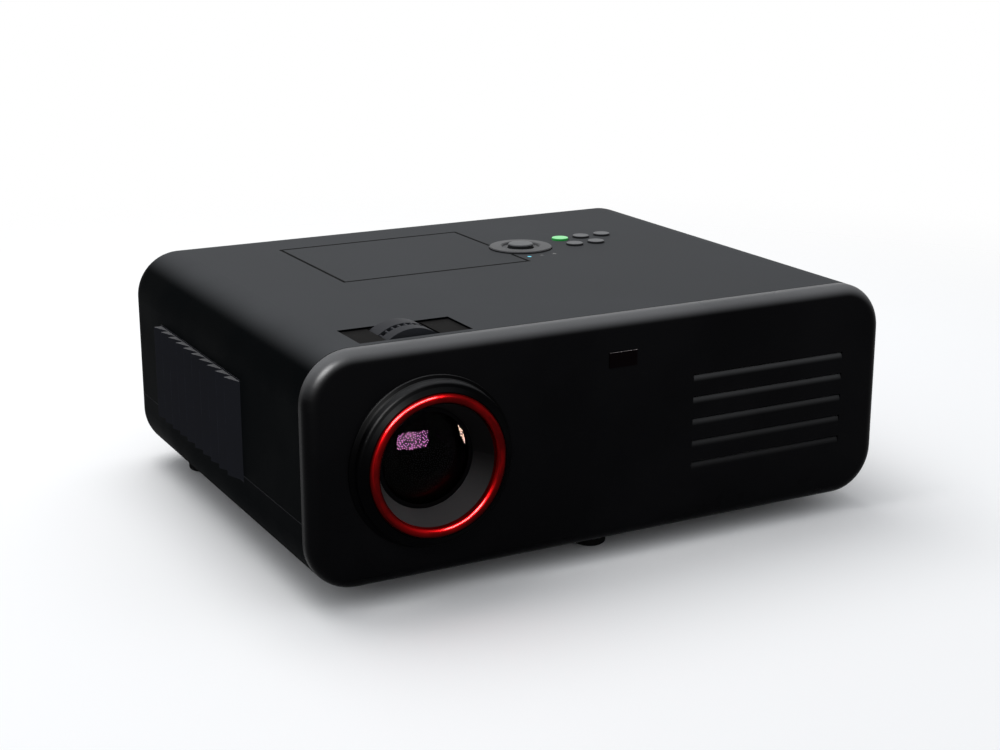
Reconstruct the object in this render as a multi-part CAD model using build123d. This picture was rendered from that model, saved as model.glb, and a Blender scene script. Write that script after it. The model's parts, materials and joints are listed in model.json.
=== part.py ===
from build123d import *
import os
from math import atan2, cos, degrees, pi, radians, sin, sqrt, tan

# A home projector with a straight optical engine behind its lens. Millimetres.
# Origin at the middle of the footprint, +Z up, the lens looks along -Y.
# A depth is counted from the front face towards the back. A height named
# "level" is counted from the underside of the case, as the case is drawn.

# Case
body_width = 320.0
body_depth = 262.3
body_height = 112.2
foot_height = 9.5
wall = 2.8
top_corner = 24.6
bottom_corner = 23.6
front_round = 6.2
back_round = 20.0
bezel_depth = 9.0
seam_level = 33.0
reveal_width = 0.5
reveal_depth = 0.6
lip_thickness = 1.2
lip_height = 2.0
lip_gap = 0.1
seat_gap = 0.1

# Lens and its trim
lens_inset = 60.5
lens_level = 56.0
lens_proud = 10.0
ring_outer = 34.3
ring_inner = 29.5
ring_thickness = 4.0
collar_flange = 41.2
collar_outer = 39.2
collar_nose = 37.0
collar_tail = 37.8
hood_mouth = 24.3
hood_wall = 1.2
hood_depth = 5.5
cell_outer = 24.0
glass_radius = 22.8
glass_sag = 4.0
glass_edge = 2.0
cell_front = 5.2
cell_length = 3.8
neck_length = 3.0
tube_outer = 13.0
tube_wall = 1.4
tube_end = 74.0
rear_lens_radius = 11.9
rear_lens_thickness = 4.0
lens_travel = 3.0
drive_pin_radius = 1.0

# Focus train: a thumb wheel in mesh with a toothed ring on the lens guide
gear_module = 1.0
wheel_teeth = 40
ring_teeth = 36
backlash = 0.16
slide_gap = 0.05
guide_wall = 1.55
focus_front = 17.0
gear_width = 10.0
tooth_width = 3.2
ring_body_gap = 0.35
wheel_gap = 1.0
wheel_swing = 60.0
groove_depth = 1.3
shaft_radius = 2.0
hub_radius = 5.0
wheel_web = 3.0

# Keystone train: a drum cam on the second wheel drives a rod to the display frame
cam_radius = 8.0
cam_length = 14.2
cam_groove = 1.5
rod_travel = 3.0
rod_width = 7.0
rod_height = 4.0
rod_clear = 0.4
fork_gap = 4.0
lug_thickness = 3.0
lug_width = 7.0

# Optical engine
box_half_width = 52.0
box_wall = 2.0
box_front = 62.0
engine_rear_gap = 64.3
box_floor_level = 10.0
box_top_level = 92.0
lid_thickness = 2.0
display_gap = 12.0
display_pivot_level = 20.0
display_top_level = 90.0
frame_thickness = 4.0
panel_width = 96.0
panel_height = 58.0
view_width = 88.6
view_height = 49.8
fresnel_thickness = 1.6
collimator_gap = 7.0
horn_length = 27.0
horn_lamp_gap = 6.0
horn_throat = 24.0
horn_sheet = 0.8
heatsink_width = 74.0
heatsink_height = 72.0
heatsink_base = 5.0
fin_depth = 26.0
fin_thickness = 1.4
fin_count = 13
led_board = 1.6

# Controls on the top
dial_width = 57.0
dial_front = 13.0
dial_back = 39.4
dial_recess = 1.0
dial_plate_thickness = 0.8
dial_ledge = 2.0
cover_left = -85.8
cover_right = 23.2
cover_length = 90.2
cover_rear_gap = 43.6
cover_thickness = 1.6
cover_ledge = 3.0
panel_gap = 0.35
cover_lift = 30.0
nav_x = 35.5
nav_setback = 33.0
nav_radius = 17.5
nav_proud = 1.2
ok_radius = 7.0
ok_proud = 2.7
button_radius = 4.75
button_proud = 1.3
button_travel = 0.8
key_gap = 0.3
rocker_angle = 2.0
key_board_level = 99.0
board_thickness = 1.6
lamp_radius = 1.1

# Front face
window_left = -4.9
window_right = 10.4
window_bottom = 87.6
window_top = 95.1
window_proud = 0.5
groove_inset = 24.5
groove_length = 91.6
groove_top = 77.9
groove_pitch = 11.3
groove_count = 5
groove_recess = 1.3
groove_slot = 0.9
groove_ramp = 3.6

# Side vents
vent_length = 121.4
vent_rear_gap = 56.9
vent_bottom = 30.0
vent_top = 81.5
louvre_count = 10
louvre_proud = 4.0
louvre_sheet = 1.3
louvre_gap = 0.6
vent_flange = 2.0

# Rear panel
rear_inset = 30.0
rear_bottom = 24.0
rear_top = 88.0
rear_flange = 3.0

# Feet and threads
foot_depth = 24.5
foot_radius = 8.2
foot_pad_height = 3.6
foot_travel = 9.0
foot_thread_pitch = 3.0
screw_radius = 3.0
rear_foot_inset = 26.0
rear_foot_gap = 38.3
rear_foot_radius = 8.0
ceiling_spacing_x = 60.0
ceiling_spacing_y = 120.0
ceiling_bore = 2.0
tripod_bore = 2.55
insert_length = 8.0

# Fans
exhaust_size = 80.0
exhaust_thickness = 25.0
exhaust_inset = 70.0
exhaust_level = 55.3
exhaust_depth = 12.0
lamp_fan_size = 60.0
lamp_fan_thickness = 15.0
blade_count = 7
blade_thickness = 1.2
fan_tip_gap = 1.0

# Derived places
front_y = lens_proud - (body_depth + lens_proud) / 2
back_y = front_y + body_depth
base_z = foot_height
top_z = base_z + body_height
lens_z = base_z + lens_level
lens_x = lens_inset - body_width / 2
box_back = body_depth - engine_rear_gap
horn_back = box_back - horn_lamp_gap
horn_front = horn_back - horn_length
collimator_depth = horn_front - collimator_gap
display_depth = collimator_depth - display_gap
field_depth = display_depth - display_gap
dial_left = lens_x - dial_width / 2
dial_right = lens_x + dial_width / 2
cover_back = body_depth - cover_rear_gap
cover_front = cover_back - cover_length
nav_depth = cover_front + nav_setback
groove_right = body_width / 2 - groove_inset
groove_left = groove_right - groove_length
vent_back = body_depth - vent_rear_gap
vent_front = vent_back - vent_length
rear_half_width = body_width / 2 - rear_inset
rear_foot_x = body_width / 2 - rear_foot_inset
rear_foot_depth = body_depth - rear_foot_gap
exhaust_x = body_width / 2 - exhaust_inset
floor_z = base_z + wall
ceiling_z = top_z - wall
wheel_pitch_radius = wheel_teeth * gear_module / 2
ring_pitch_radius = ring_teeth * gear_module / 2
wheel_z = lens_z + wheel_pitch_radius + ring_pitch_radius
wheel_radius = wheel_pitch_radius + gear_module
guide_inner = tube_outer + slide_gap
guide_outer = guide_inner + guide_wall
ring_bore = guide_outer + slide_gap
keystone_front = focus_front + gear_width + wheel_gap
keystone_back = keystone_front + gear_width
pin_depth = focus_front + gear_width / 2
cam_depth = keystone_back + cam_length / 2
pin_tip = ring_bore + groove_depth - 0.15
rod_bottom = wheel_z + cam_radius + rod_clear
ring_turn = wheel_swing * wheel_teeth / ring_teeth
nodes = {}


def at_depth(depth):
    """The Y of a place that lies this far behind the front face."""
    return front_y + depth


def at_level(level):
    """The Z of a place this far above the underside of the case."""
    return base_z + level


def along_y(sketch, start, end):
    """A section drawn in X and Z, carried back from one depth to another."""
    plane = Plane((0, at_depth(end), 0), x_dir=(1, 0, 0), z_dir=(0, -1, 0))
    return extrude(plane * sketch, end - start)


def along_x(sketch, start, end):
    """A section drawn in Y and Z, carried from one X to another."""
    plane = Plane((start, 0, 0), x_dir=(0, 1, 0), z_dir=(1, 0, 0))
    return extrude(plane * sketch, end - start)


def along_z(sketch, start, end):
    """A section drawn in X and Y, carried up from one Z to another."""
    return extrude(Pos(0, 0, start) * sketch, end - start)


def block(x0, x1, depth0, depth1, z0, z1):
    """A box between two X, two depths and two Z."""
    middle = Pos((x0 + x1) / 2, at_depth((depth0 + depth1) / 2), (z0 + z1) / 2)
    return middle * Box(x1 - x0, depth1 - depth0, z1 - z0)


def rod_y(x, z, radius, start, end):
    """A round bar along Y from one depth to another."""
    return along_y(Pos(x, z) * Circle(radius), start, end)


def rod_z(x, depth, radius, z0, z1):
    """A round upright from one Z to another."""
    return along_z(Pos(x, at_depth(depth)) * Circle(radius), z0, z1)


def rod_x(depth, z, radius, x0, x1):
    """A round bar along X."""
    return along_x(Pos(at_depth(depth), z) * Circle(radius), x0, x1)


def turned(points, rounds=()):
    """A piece turned about the lens axis, from (radius, depth) points.

    Rounds pairs the number of a point with the radius of its rounded corner.
    """
    corners = [(radius, at_depth(depth), 0) for radius, depth in points]
    outline = make_face(Polyline(corners, close=True))
    for index, corner_radius in rounds:
        corner = outline.vertices().sort_by_distance(corners[index])[0]
        outline = fillet(corner, corner_radius)
    return revolve(Pos(lens_x, 0, lens_z) * outline, Axis((lens_x, 0, lens_z), (0, 1, 0)))


def plate_profile(half_width, bottom, top, corner):
    """A rounded rectangle about X = 0, between two levels."""
    middle = Pos(0, at_level((bottom + top) / 2))
    return middle * RectangleRounded(2 * half_width, top - bottom, corner)


def case_form(inset):
    """The outer form of the case, drawn in on every side by the inset."""
    profile = Pos(0, base_z + body_height / 2) * Rectangle(body_width - 2 * inset, body_height - 2 * inset)
    profile = fillet(profile.vertices().group_by(Axis.Y)[-1], top_corner - inset)
    lowest = profile.vertices().sort_by(Axis.Y)[0:2]
    profile = fillet(lowest, bottom_corner - inset)
    form = along_y(profile, inset, body_depth - inset)
    form = fillet(form.faces().sort_by(Axis.Y)[0].edges(), front_round - inset)
    return fillet(form.faces().sort_by(Axis.Y)[-1].edges(), back_round - inset)


def slab(depth0, depth1, z0, z1):
    """A slice that is wider than the case."""
    return block(-body_width, body_width, depth0, depth1, z0, z1)


outer_form = case_form(0)
inner_form = case_form(wall)
lip_form = case_form(wall - lip_thickness)
rabbet_form = case_form(wall - lip_thickness - lip_gap)
reveal_form = case_form(reveal_depth)
shell = outer_form - inner_form
tongue = lip_form - inner_form
rabbet = rabbet_form - inner_form
reveal = outer_form - reveal_form
seam_z = at_level(seam_level)
below = at_level(-body_height)
above = at_level(2 * body_height)

# Screw posts near the four corners join the tray to the cover
post_inset = 18.0
post_front = 48.0
post_rear_gap = 48.3
post_x = body_width / 2 - post_inset
post_depths = (post_front, body_depth - post_rear_gap)
post_radius = 4.0
post_places = [(side * post_x, depth) for side in (-1, 1) for depth in post_depths]
screw_hole = 1.7
screw_shank = 1.5
screw_head = 2.9
screw_head_height = 2.0
screw_sink = 5.0
screw_length = 42.0


def post_form(radius, z0, z1):
    """The four corner posts as one group."""
    posts = [rod_z(x, depth, radius, z0, z1) for x, depth in post_places]
    return posts[0] + posts[1:]


def rear_opening(clear):
    """The hole in the back that takes the rear panel."""
    profile = plate_profile(rear_half_width + clear, rear_bottom - clear, rear_top + clear, 4.0)
    return along_y(profile, body_depth - back_round, body_depth + wall)


def vent_hole(side, clear):
    """The hole in one side that takes the louvred vent."""
    x0 = side * (body_width / 2 - 2 * wall)
    x1 = side * (body_width / 2 + wall)
    return block(min(x0, x1), max(x0, x1), vent_front - clear, vent_back + clear,
                 at_level(vent_bottom - clear), at_level(vent_top + clear))


def louvre_outline(front, inward):
    """One scoop seen from above: flush at its front, proud at its back."""
    run = (vent_back - vent_front) / louvre_count - louvre_gap
    face = -body_width / 2
    slope = louvre_proud / run
    if inward:
        start = 3.5
        reach = run + louvre_gap / 2
        return [(face + 2 * wall, at_depth(front + start)),
                (face - slope * start + louvre_sheet, at_depth(front + start)),
                (face - slope * reach + louvre_sheet, at_depth(front + reach)),
                (face, at_depth(front + reach)),
                (face + wall / 2, at_depth(front + run - 1.0)),
                (face + 2 * wall, at_depth(front + run - 1.0))]
    return [(face + 1.0, at_depth(front)), (face, at_depth(front)),
            (face - louvre_proud, at_depth(front + run)), (face + 1.0, at_depth(front + run))]


def side_vent():
    """The left vent: a plate with rows of upright scoops that open to the back."""
    face = -body_width / 2
    low, high = at_level(vent_bottom), at_level(vent_top)
    vent = block(face, face + wall, vent_front, vent_back, low, high)
    vent += block(face + wall, face + wall + 1.5, vent_front - vent_flange, vent_back + vent_flange,
                  low - vent_flange, high + vent_flange)
    pitch = (vent_back - vent_front) / louvre_count
    scoops = []
    hollows = []
    for index in range(louvre_count):
        front = vent_front + pitch * index
        outline = make_face(Polyline(louvre_outline(front, False), close=True))
        hollow = make_face(Polyline(louvre_outline(front, True), close=True))
        scoops.append(along_z(outline, low + 0.8, high - 0.8))
        hollows.append(along_z(hollow, low + 0.8 + louvre_sheet, high - 0.8 - louvre_sheet))
    return vent + scoops - hollows


# Front bezel
def front_groove(index):
    """One exhaust groove: a sharp upper edge, a slot, and a shoulder that rounds out to the face."""
    top = at_level(groove_top - groove_pitch * index)
    face, deep = at_depth(0), at_depth(groove_recess)
    lip = top - groove_slot
    foot = lip - groove_ramp
    mouth = Polyline((face, foot), (face - 1.0, foot), (face - 1.0, top), (deep, top), (deep, lip))
    shoulder = TangentArc((face, foot), (deep, lip), tangent=(0, 1))
    groove = along_x(make_face(mouth + shoulder), groove_left, groove_right)
    slot = block(groove_left + 1, groove_right - 1, 0, 2 * wall, top - groove_slot, top)
    return groove + slot


def ir_pocket(clear, depth0, depth1):
    """The window's block, grown by the clearance."""
    return block(window_left - clear, window_right + clear, depth0, depth1,
                 at_level(window_bottom) - clear, at_level(window_top) + clear)


def front_bezel():
    """The front cap with its lens hole, window hole and exhaust grooves."""
    bezel = shell & slab(-1, bezel_depth, below, above)
    bezel += tongue & slab(bezel_depth - 1, bezel_depth + lip_height, below, above)
    bezel -= rod_y(lens_x, lens_z, collar_tail + seat_gap, -1, 2 * wall)
    bezel -= ir_pocket(0.05, -1, 2 * wall)
    return bezel - [front_groove(index) for index in range(groove_count)]


nodes["front_bezel"] = front_bezel()

window_flange = 1.5
window_flange_depth = wall + 1.2
nodes["ir_window"] = (ir_pocket(0, -window_proud, wall)
                      + ir_pocket(window_flange, wall, window_flange_depth))
receiver_x = (window_left + window_right) / 2
receiver_z = at_level((window_bottom + window_top) / 2)
receiver_half = 3.5
receiver_thickness = 4.0
receiver_eye = 2.4
receiver_front = window_flange_depth + 1.2
receiver = block(receiver_x - receiver_half, receiver_x + receiver_half, receiver_front,
                 receiver_front + receiver_thickness, receiver_z - receiver_half, receiver_z + receiver_half)
receiver += rod_y(receiver_x, receiver_z, receiver_eye, window_flange_depth, receiver_front)
nodes["ir_receiver"] = receiver

# Top cover
dial_plate_z = top_z - dial_recess
dial_floor_z = dial_plate_z - dial_plate_thickness
dial_slot_front = focus_front - 0.5
dial_slot_back = keystone_back + 0.5
panel_bottom = top_z - cover_thickness
nav_hole = nav_radius + key_gap
button_hole = button_radius + seat_gap
button_offsets = {
    "power_button": (30.8, 9.3),
    "menu_button": (44.7, 9.5),
    "source_button": (58.5, 9.5),
    "back_button": (31.0, -7.0),
    "mute_button": (44.9, -7.0),
}
button_places = {name: (nav_x + dx, nav_depth + dy) for name, (dx, dy) in button_offsets.items()}
lamp_offset = -22.7
lamp_places = [(nav_x + dx, nav_depth + lamp_offset) for dx in (-6.9, 0.8, 8.8)]
board_left, board_right = nav_x - 17.5, nav_x + 68.5
board_front, board_back = nav_depth - 29.5, nav_depth + 22.5
hang_inset = 3.5
board_hang = [(x, depth) for x in (board_left + hang_inset, board_right - hang_inset)
              for depth in (board_front + hang_inset, board_back - hang_inset)]
board_post = 2.5
window_clear = 2.0


def top_cover():
    """The upper shell, with its openings for the dials, panel, keys and vents."""
    cover = shell & slab(bezel_depth, body_depth + 1, seam_z, above)
    cover -= rabbet & slab(bezel_depth - 1, bezel_depth + lip_height + lip_gap, below, above)
    cover -= rabbet & slab(bezel_depth - 1, body_depth + 1, seam_z - 1, seam_z + lip_height + lip_gap)
    cover -= reveal & slab(bezel_depth - 1, bezel_depth + reveal_width, below, above)
    cover -= reveal & slab(bezel_depth, body_depth + 1, seam_z - 1, seam_z + reveal_width)
    cover += post_form(post_radius, seam_z, ceiling_z + 0.5) & outer_form
    cover -= post_form(screw_shank + 0.02, seam_z - 1, seam_z + 15.0)
    cover -= block(dial_left, dial_right, dial_front, dial_back, dial_floor_z, top_z + 1)
    cover -= block(dial_left + dial_ledge, dial_right - dial_ledge, dial_slot_front, dial_slot_back,
                   ceiling_z - 1, dial_floor_z + 1)
    cover -= block(cover_left - panel_gap, cover_right + panel_gap, cover_front - panel_gap,
                   cover_back + panel_gap, panel_bottom, top_z + 1)
    cover -= block(cover_left + cover_ledge, nav_x - nav_hole - window_clear, cover_front + cover_ledge,
                   cover_back - cover_ledge, ceiling_z - 1, panel_bottom + 1)
    cover -= rod_z(nav_x, nav_depth, nav_hole, ceiling_z - 1, top_z + 1)
    cover -= [rod_z(x, depth, button_hole, ceiling_z - 1, top_z + 1) for x, depth in button_places.values()]
    cover -= [rod_z(x, depth, lamp_radius + 0.05, ceiling_z - 1, top_z + 1) for x, depth in lamp_places]
    cover += [rod_z(x, depth, board_post, key_board_z + board_thickness, ceiling_z + 0.5)
              for x, depth in board_hang]
    cover -= rear_opening(seat_gap)
    return cover - [vent_hole(side, seat_gap) for side in (-1, 1)]


key_board_z = at_level(key_board_level)
nodes["top_cover"] = top_cover()
notch = rod_z(nav_x, nav_depth, nav_hole, panel_bottom - 1, top_z + 1)
nodes["service_cover"] = block(cover_left, cover_right, cover_front, cover_back, panel_bottom, top_z) - notch

# Dial plate and the bracket that carries the two wheels
dial_half = sqrt(wheel_radius ** 2 - (dial_floor_z - wheel_z) ** 2) + 0.6
dial_plate = block(dial_left + 0.05, dial_right - 0.05, dial_front + 0.05, dial_back - 0.05,
                   dial_floor_z, dial_plate_z)
dial_plate -= block(lens_x - dial_half, lens_x + dial_half, dial_slot_front, dial_slot_back,
                    dial_floor_z - 1, dial_plate_z + 1)
nodes["dial_plate"] = dial_plate

bracket_half = 26.0
bracket_sheet = 2.0
ear_thickness = 3.0
ear_half = 6.0
ear_drop = 5.0
front_ear = 11.5
rear_ear = 53.5
bracket_end = rear_ear + ear_thickness
bracket_z = ceiling_z - bracket_sheet


def dial_bracket():
    """A hanger under the cover: a windowed plate with an ear at each end of the shaft."""
    clear = sqrt(wheel_radius ** 2 - (bracket_z - wheel_z) ** 2) + 1.0
    bracket = block(lens_x - bracket_half, lens_x + bracket_half, front_ear, bracket_end,
                    bracket_z, ceiling_z)
    bracket -= block(lens_x - clear, lens_x + clear, front_ear + ear_thickness, keystone_back + 1.0,
                     bracket_z - 1, ceiling_z + 1)
    for ear in (front_ear, rear_ear):
        low = wheel_z - ear_drop
        bracket += block(lens_x - ear_half, lens_x + ear_half, ear, ear + ear_thickness, low, ceiling_z)
        bracket -= rod_y(lens_x, wheel_z, shaft_radius + 0.01, ear - 1, ear + ear_thickness + 1)
    hole = block(lens_x - rod_width / 2 - seat_gap, lens_x + rod_width / 2 + seat_gap,
                 rear_ear - 1, bracket_end + 1, rod_bottom - seat_gap, rod_bottom + rod_height + seat_gap)
    return bracket - hole


nodes["dial_bracket"] = dial_bracket()
nodes["dial_shaft"] = rod_y(lens_x, wheel_z, shaft_radius, front_ear, bracket_end)


# Gears
def involute_angle(radius, base):
    """The angle that an involute has unwound by at this radius."""
    roll = sqrt(max(radius ** 2 / base ** 2 - 1, 0))
    return roll - atan2(roll, 1)


def tooth_points(teeth, first_angle):
    """The rim of a spur gear with 20 degree involute flanks, from its own module."""
    pitch = teeth * gear_module / 2
    base = pitch * cos(radians(20))
    root = pitch - 1.2 * gear_module
    tip = pitch + gear_module
    start = max(root, base)
    half = pi / (2 * teeth) - backlash / (4 * pitch)
    radii = [start, (start + pitch) / 2, pitch, (pitch + tip) / 2, tip]
    at_pitch = involute_angle(pitch, base)
    flank = [(radius, half + at_pitch - involute_angle(radius, base)) for radius in radii]
    rim = [(root, flank[0][1] * 1.15)] + flank if root < start else flank
    points = []
    for index in range(teeth):
        middle = first_angle + 2 * pi * index / teeth
        for radius, angle in rim:
            points.append((radius * cos(middle - angle), radius * sin(middle - angle)))
        for radius, angle in reversed(rim):
            points.append((radius * cos(middle + angle), radius * sin(middle + angle)))
    return points


def gear_face(teeth, first_angle, x, z):
    """The toothed section, placed on its axis."""
    return Pos(x, z) * make_face(Polyline(tooth_points(teeth, first_angle), close=True))


def thumb_wheel(front):
    """A smooth-rimmed wheel with a thin web and a hub."""
    back = front + gear_width
    wheel = rod_y(lens_x, wheel_z, wheel_radius, front, back)
    rim_inner = wheel_pitch_radius - 3.6 * gear_module
    pocket = rod_y(lens_x, wheel_z, rim_inner, front - 1, back + 1)
    pocket -= rod_y(lens_x, wheel_z, hub_radius, front - 2, back + 2)
    middle = front + gear_width / 2
    pocket -= rod_y(lens_x, wheel_z, wheel_radius, middle - wheel_web / 2, middle + wheel_web / 2)
    return wheel - pocket


def helical_groove(x, z, radius, depth, lead, angle, sweep_angle, thick, width):
    """A groove that winds about an axis along Y, centred on one depth and one angle."""
    half = radians(sweep_angle)
    length = lead * half / pi
    coil = Helix(pitch=lead, height=length, radius=radius)
    section = Plane(origin=coil @ 0, x_dir=(1, 0, 0), z_dir=coil % 0) * Rectangle(thick, width)
    cutter = sweep(section, path=coil, is_frenet=True)
    centred = Rot(0, 0, -angle - sweep_angle) * Pos(0, 0, -length / 2) * cutter
    return Pos(x, at_depth(depth), z) * Rot(-90, 0, 0) * centred


shaft_bore = shaft_radius + slide_gap
tooth_turn = -pi / 2
ring_first = pi / 2 + pi / ring_teeth
ring_body_radius = wheel_z - lens_z - wheel_radius - ring_body_gap
tooth_front = focus_front + gear_width - tooth_width
tooth_back = focus_front + gear_width
gaps = (rod_y(lens_x, wheel_z, wheel_radius + 1, tooth_front, tooth_back + 1)
        - along_y(gear_face(wheel_teeth, tooth_turn, lens_x, wheel_z), tooth_front - 1, tooth_back + 2))
focus_wheel = thumb_wheel(focus_front) - gaps
nodes["focus_wheel"] = focus_wheel - rod_y(lens_x, wheel_z, shaft_bore, 0, cam_depth + cam_length)

keystone_wheel = thumb_wheel(keystone_front)
keystone_wheel += rod_y(lens_x, wheel_z, cam_radius, keystone_back - 1, keystone_back + cam_length)
keystone_wheel -= rod_y(lens_x, wheel_z, shaft_bore, 0, cam_depth + cam_length)
cam_lead = rod_travel * 360 / wheel_swing
ring_lead = lens_travel * 360 / ring_turn
groove_spare = 12.0


def keystone_cam():
    """The groove in the drum that draws the rod back and forth."""
    middle = cam_radius - cam_groove / 2 + 0.5
    return helical_groove(lens_x, wheel_z, middle, cam_depth, cam_lead, 90,
                          wheel_swing + groove_spare, cam_groove + 1, 2 * drive_pin_radius + 0.3)


nodes["keystone_wheel"] = keystone_wheel - keystone_cam()


def focus_ring():
    """The toothed ring: its bore runs on the guide and its groove moves the lens."""
    face = gear_face(ring_teeth, ring_first, lens_x, lens_z)
    ring = along_y(face, tooth_front + 0.2, tooth_back - 0.2)
    ring += rod_y(lens_x, lens_z, ring_body_radius, focus_front + 0.2, tooth_back - 0.2)
    ring -= rod_y(lens_x, lens_z, ring_bore, focus_front - 1, focus_front + gear_width + 1)
    middle = ring_bore + groove_depth / 2 - 0.5
    return ring - helical_groove(lens_x, lens_z, middle, pin_depth, ring_lead, -90,
                                 ring_turn + groove_spare, groove_depth + 1, 2 * drive_pin_radius + 0.3)


nodes["focus_ring"] = focus_ring()

# Lens trim on the bezel
collar_lip = 0.8
collar_seat = ring_outer + 0.1
collar_bore = 31.5
collar_back = 5.5
nose_depth = 6.7
lip_depth = 8.3
collar_groove = 0.5
nodes["lens_collar"] = turned([
    (collar_flange, 0), (collar_flange, -collar_lip), (collar_outer + collar_groove, -collar_lip - 0.9),
    (collar_outer, -2.4), (collar_outer, -nose_depth + 1.0), (collar_nose, -nose_depth - 0.2),
    (collar_seat + 0.5, -lip_depth), (collar_seat, -lip_depth + 0.3),
    (collar_seat, -lens_proud + ring_thickness + 1.0), (collar_bore, -lens_proud + ring_thickness + 1.0),
    (collar_bore, collar_back), (collar_tail, collar_back), (collar_tail, 0)],
    rounds=[(1, 0.5), (4, 2.0), (5, 0.6)])
ring_front = -lens_proud
ring_back = ring_front + ring_thickness
ring_round = 2.2
nodes["accent_ring"] = turned(
    [(ring_inner, ring_back), (ring_inner, ring_front), (ring_outer, ring_front), (ring_outer, ring_back)],
    rounds=[(1, ring_round), (2, ring_round)])
hood_lip = ring_inner + 0.2
nodes["hood_cone"] = turned([
    (hood_lip, ring_back), (ring_outer, ring_back), (ring_outer, ring_back + 1.0),
    (hood_lip + hood_wall, ring_back + 1.0), (hood_mouth + hood_wall, hood_depth), (hood_mouth, hood_depth)])

# The moving lens: a wide front cell on a slim tube
cell_back = cell_front + cell_length
neck_back = cell_back + neck_length
tube_inner = tube_outer - tube_wall
seat_depth = 0.8
glass_front = cell_front + seat_depth
glass_back = glass_front + glass_edge
rear_seat = tube_end - 7.0
retainer_depth = 2.0
crown_gap = 0.3
barrel = turned([
    (cell_outer, cell_front), (cell_outer, cell_back), (tube_outer, neck_back), (tube_outer, tube_end),
    (rear_lens_radius + 0.02, tube_end), (rear_lens_radius + 0.02, rear_seat - crown_gap),
    (tube_inner - 1.0, rear_seat - crown_gap), (tube_inner - 1.0, rear_seat - 2.0),
    (tube_inner, rear_seat - 3.0), (tube_inner, neck_back - 1.1),
    (cell_outer - 2.4, glass_back + 0.8), (cell_outer - 2.4, glass_back),
    (glass_radius + 0.02, glass_back), (glass_radius + 0.02, glass_front - crown_gap),
    (glass_radius - 0.6, glass_front - crown_gap), (glass_radius - 0.6, cell_front)])
pin_root = tube_outer - tube_wall / 2
barrel += rod_z(lens_x, pin_depth, drive_pin_radius, lens_z - pin_tip, lens_z - pin_root)
nodes["lens_barrel"] = barrel


def lens_element(radius, front, edge, sag, back_sag=0.0):
    """A glass cut from a ball, with a second ball for a crowned back where asked."""
    glass = rod_y(lens_x, lens_z, radius, front - sag, front + edge + back_sag)
    ball = (radius ** 2 + sag ** 2) / (2 * sag)
    glass = glass & (Pos(lens_x, at_depth(front - sag + ball), lens_z) * Sphere(ball))
    if back_sag:
        rear_ball = (radius ** 2 + back_sag ** 2) / (2 * back_sag)
        rear_centre = at_depth(front + edge + back_sag - rear_ball)
        glass = glass & (Pos(lens_x, rear_centre, lens_z) * Sphere(rear_ball))
    return glass


nodes["front_lens"] = lens_element(glass_radius, glass_front, glass_edge, glass_sag)
rear_edge = rear_lens_thickness - 2.0
nodes["rear_lens"] = lens_element(rear_lens_radius, rear_seat, rear_edge, 1.0, 1.0)
retainer_front = rear_seat + rear_edge + crown_gap
nodes["lens_retainer"] = turned([
    (rear_lens_radius, retainer_front), (rear_lens_radius, retainer_front + retainer_depth),
    (rear_lens_radius - 2.4, retainer_front + retainer_depth),
    (rear_lens_radius - 2.4, retainer_front + 1.2), (rear_lens_radius - 1.2, retainer_front)])

# The guide that carries the lens and the ring
guide_front = focus_front - 1.6
shoulder_radius = wheel_z - wheel_radius - lens_z - 0.6
clip_thickness = 0.8
mount_flange = 30.0
mount_thickness = 3.0
guide = turned([
    (guide_inner, guide_front), (guide_outer, guide_front), (guide_outer, focus_front + gear_width),
    (shoulder_radius, focus_front + gear_width), (shoulder_radius, focus_front + gear_width + 1.5),
    (guide_outer, focus_front + gear_width + 1.5), (guide_outer, box_front - mount_thickness),
    (mount_flange, box_front - mount_thickness), (mount_flange, box_front), (guide_inner, box_front)])
slot_reach = lens_travel + drive_pin_radius + 0.3
slot_half = drive_pin_radius + 0.05
guide -= block(lens_x - slot_half, lens_x + slot_half, pin_depth - slot_reach, pin_depth + slot_reach,
               lens_z - guide_outer - 1, lens_z - guide_inner + 1)
nodes["lens_guide"] = guide
clip_front = guide_front + 0.4
nodes["ring_clip"] = turned([
    (guide_outer + 0.02, clip_front), (guide_outer + 1.6, clip_front),
    (guide_outer + 1.6, clip_front + clip_thickness), (guide_outer + 0.02, clip_front + clip_thickness)])

# Keystone rod over the engine, with a fork for the display frame's lug
rod_front = keystone_back + 1.5
rod_back = display_depth + 5.0
rod_middle = rod_bottom + rod_height / 2
keystone_rod = block(lens_x - rod_width / 2, lens_x + rod_width / 2, rod_front + rod_travel, rod_back,
                     rod_bottom, rod_bottom + rod_height)
keystone_rod -= block(lens_x - fork_gap / 2, lens_x + fork_gap / 2, display_depth - 6.0, rod_back + 1,
                      rod_bottom - 1, rod_bottom + rod_height + 1)
keystone_rod += rod_x(display_depth, rod_middle, drive_pin_radius, lens_x - fork_gap / 2,
                      lens_x + fork_gap / 2)
cam_tip = wheel_z + cam_radius - cam_groove + 0.15
keystone_rod += rod_z(lens_x, cam_depth, drive_pin_radius, cam_tip, rod_bottom)
nodes["keystone_rod"] = keystone_rod

# Display frame, panel and the plates before and behind it
pivot_z = at_level(display_pivot_level)
pivot_radius = 1.5
box_inner = box_half_width - box_wall
frame_half = box_inner - 1.0
frame_bottom = display_pivot_level - 4.0
lug_top = rod_bottom + rod_height + 0.8
half_thick = frame_thickness / 2


def upright(half_width, bottom, top, depth0, depth1):
    """A plate across the optical axis, between two levels and two depths."""
    return block(lens_x - half_width, lens_x + half_width, depth0, depth1, at_level(bottom), at_level(top))


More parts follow.
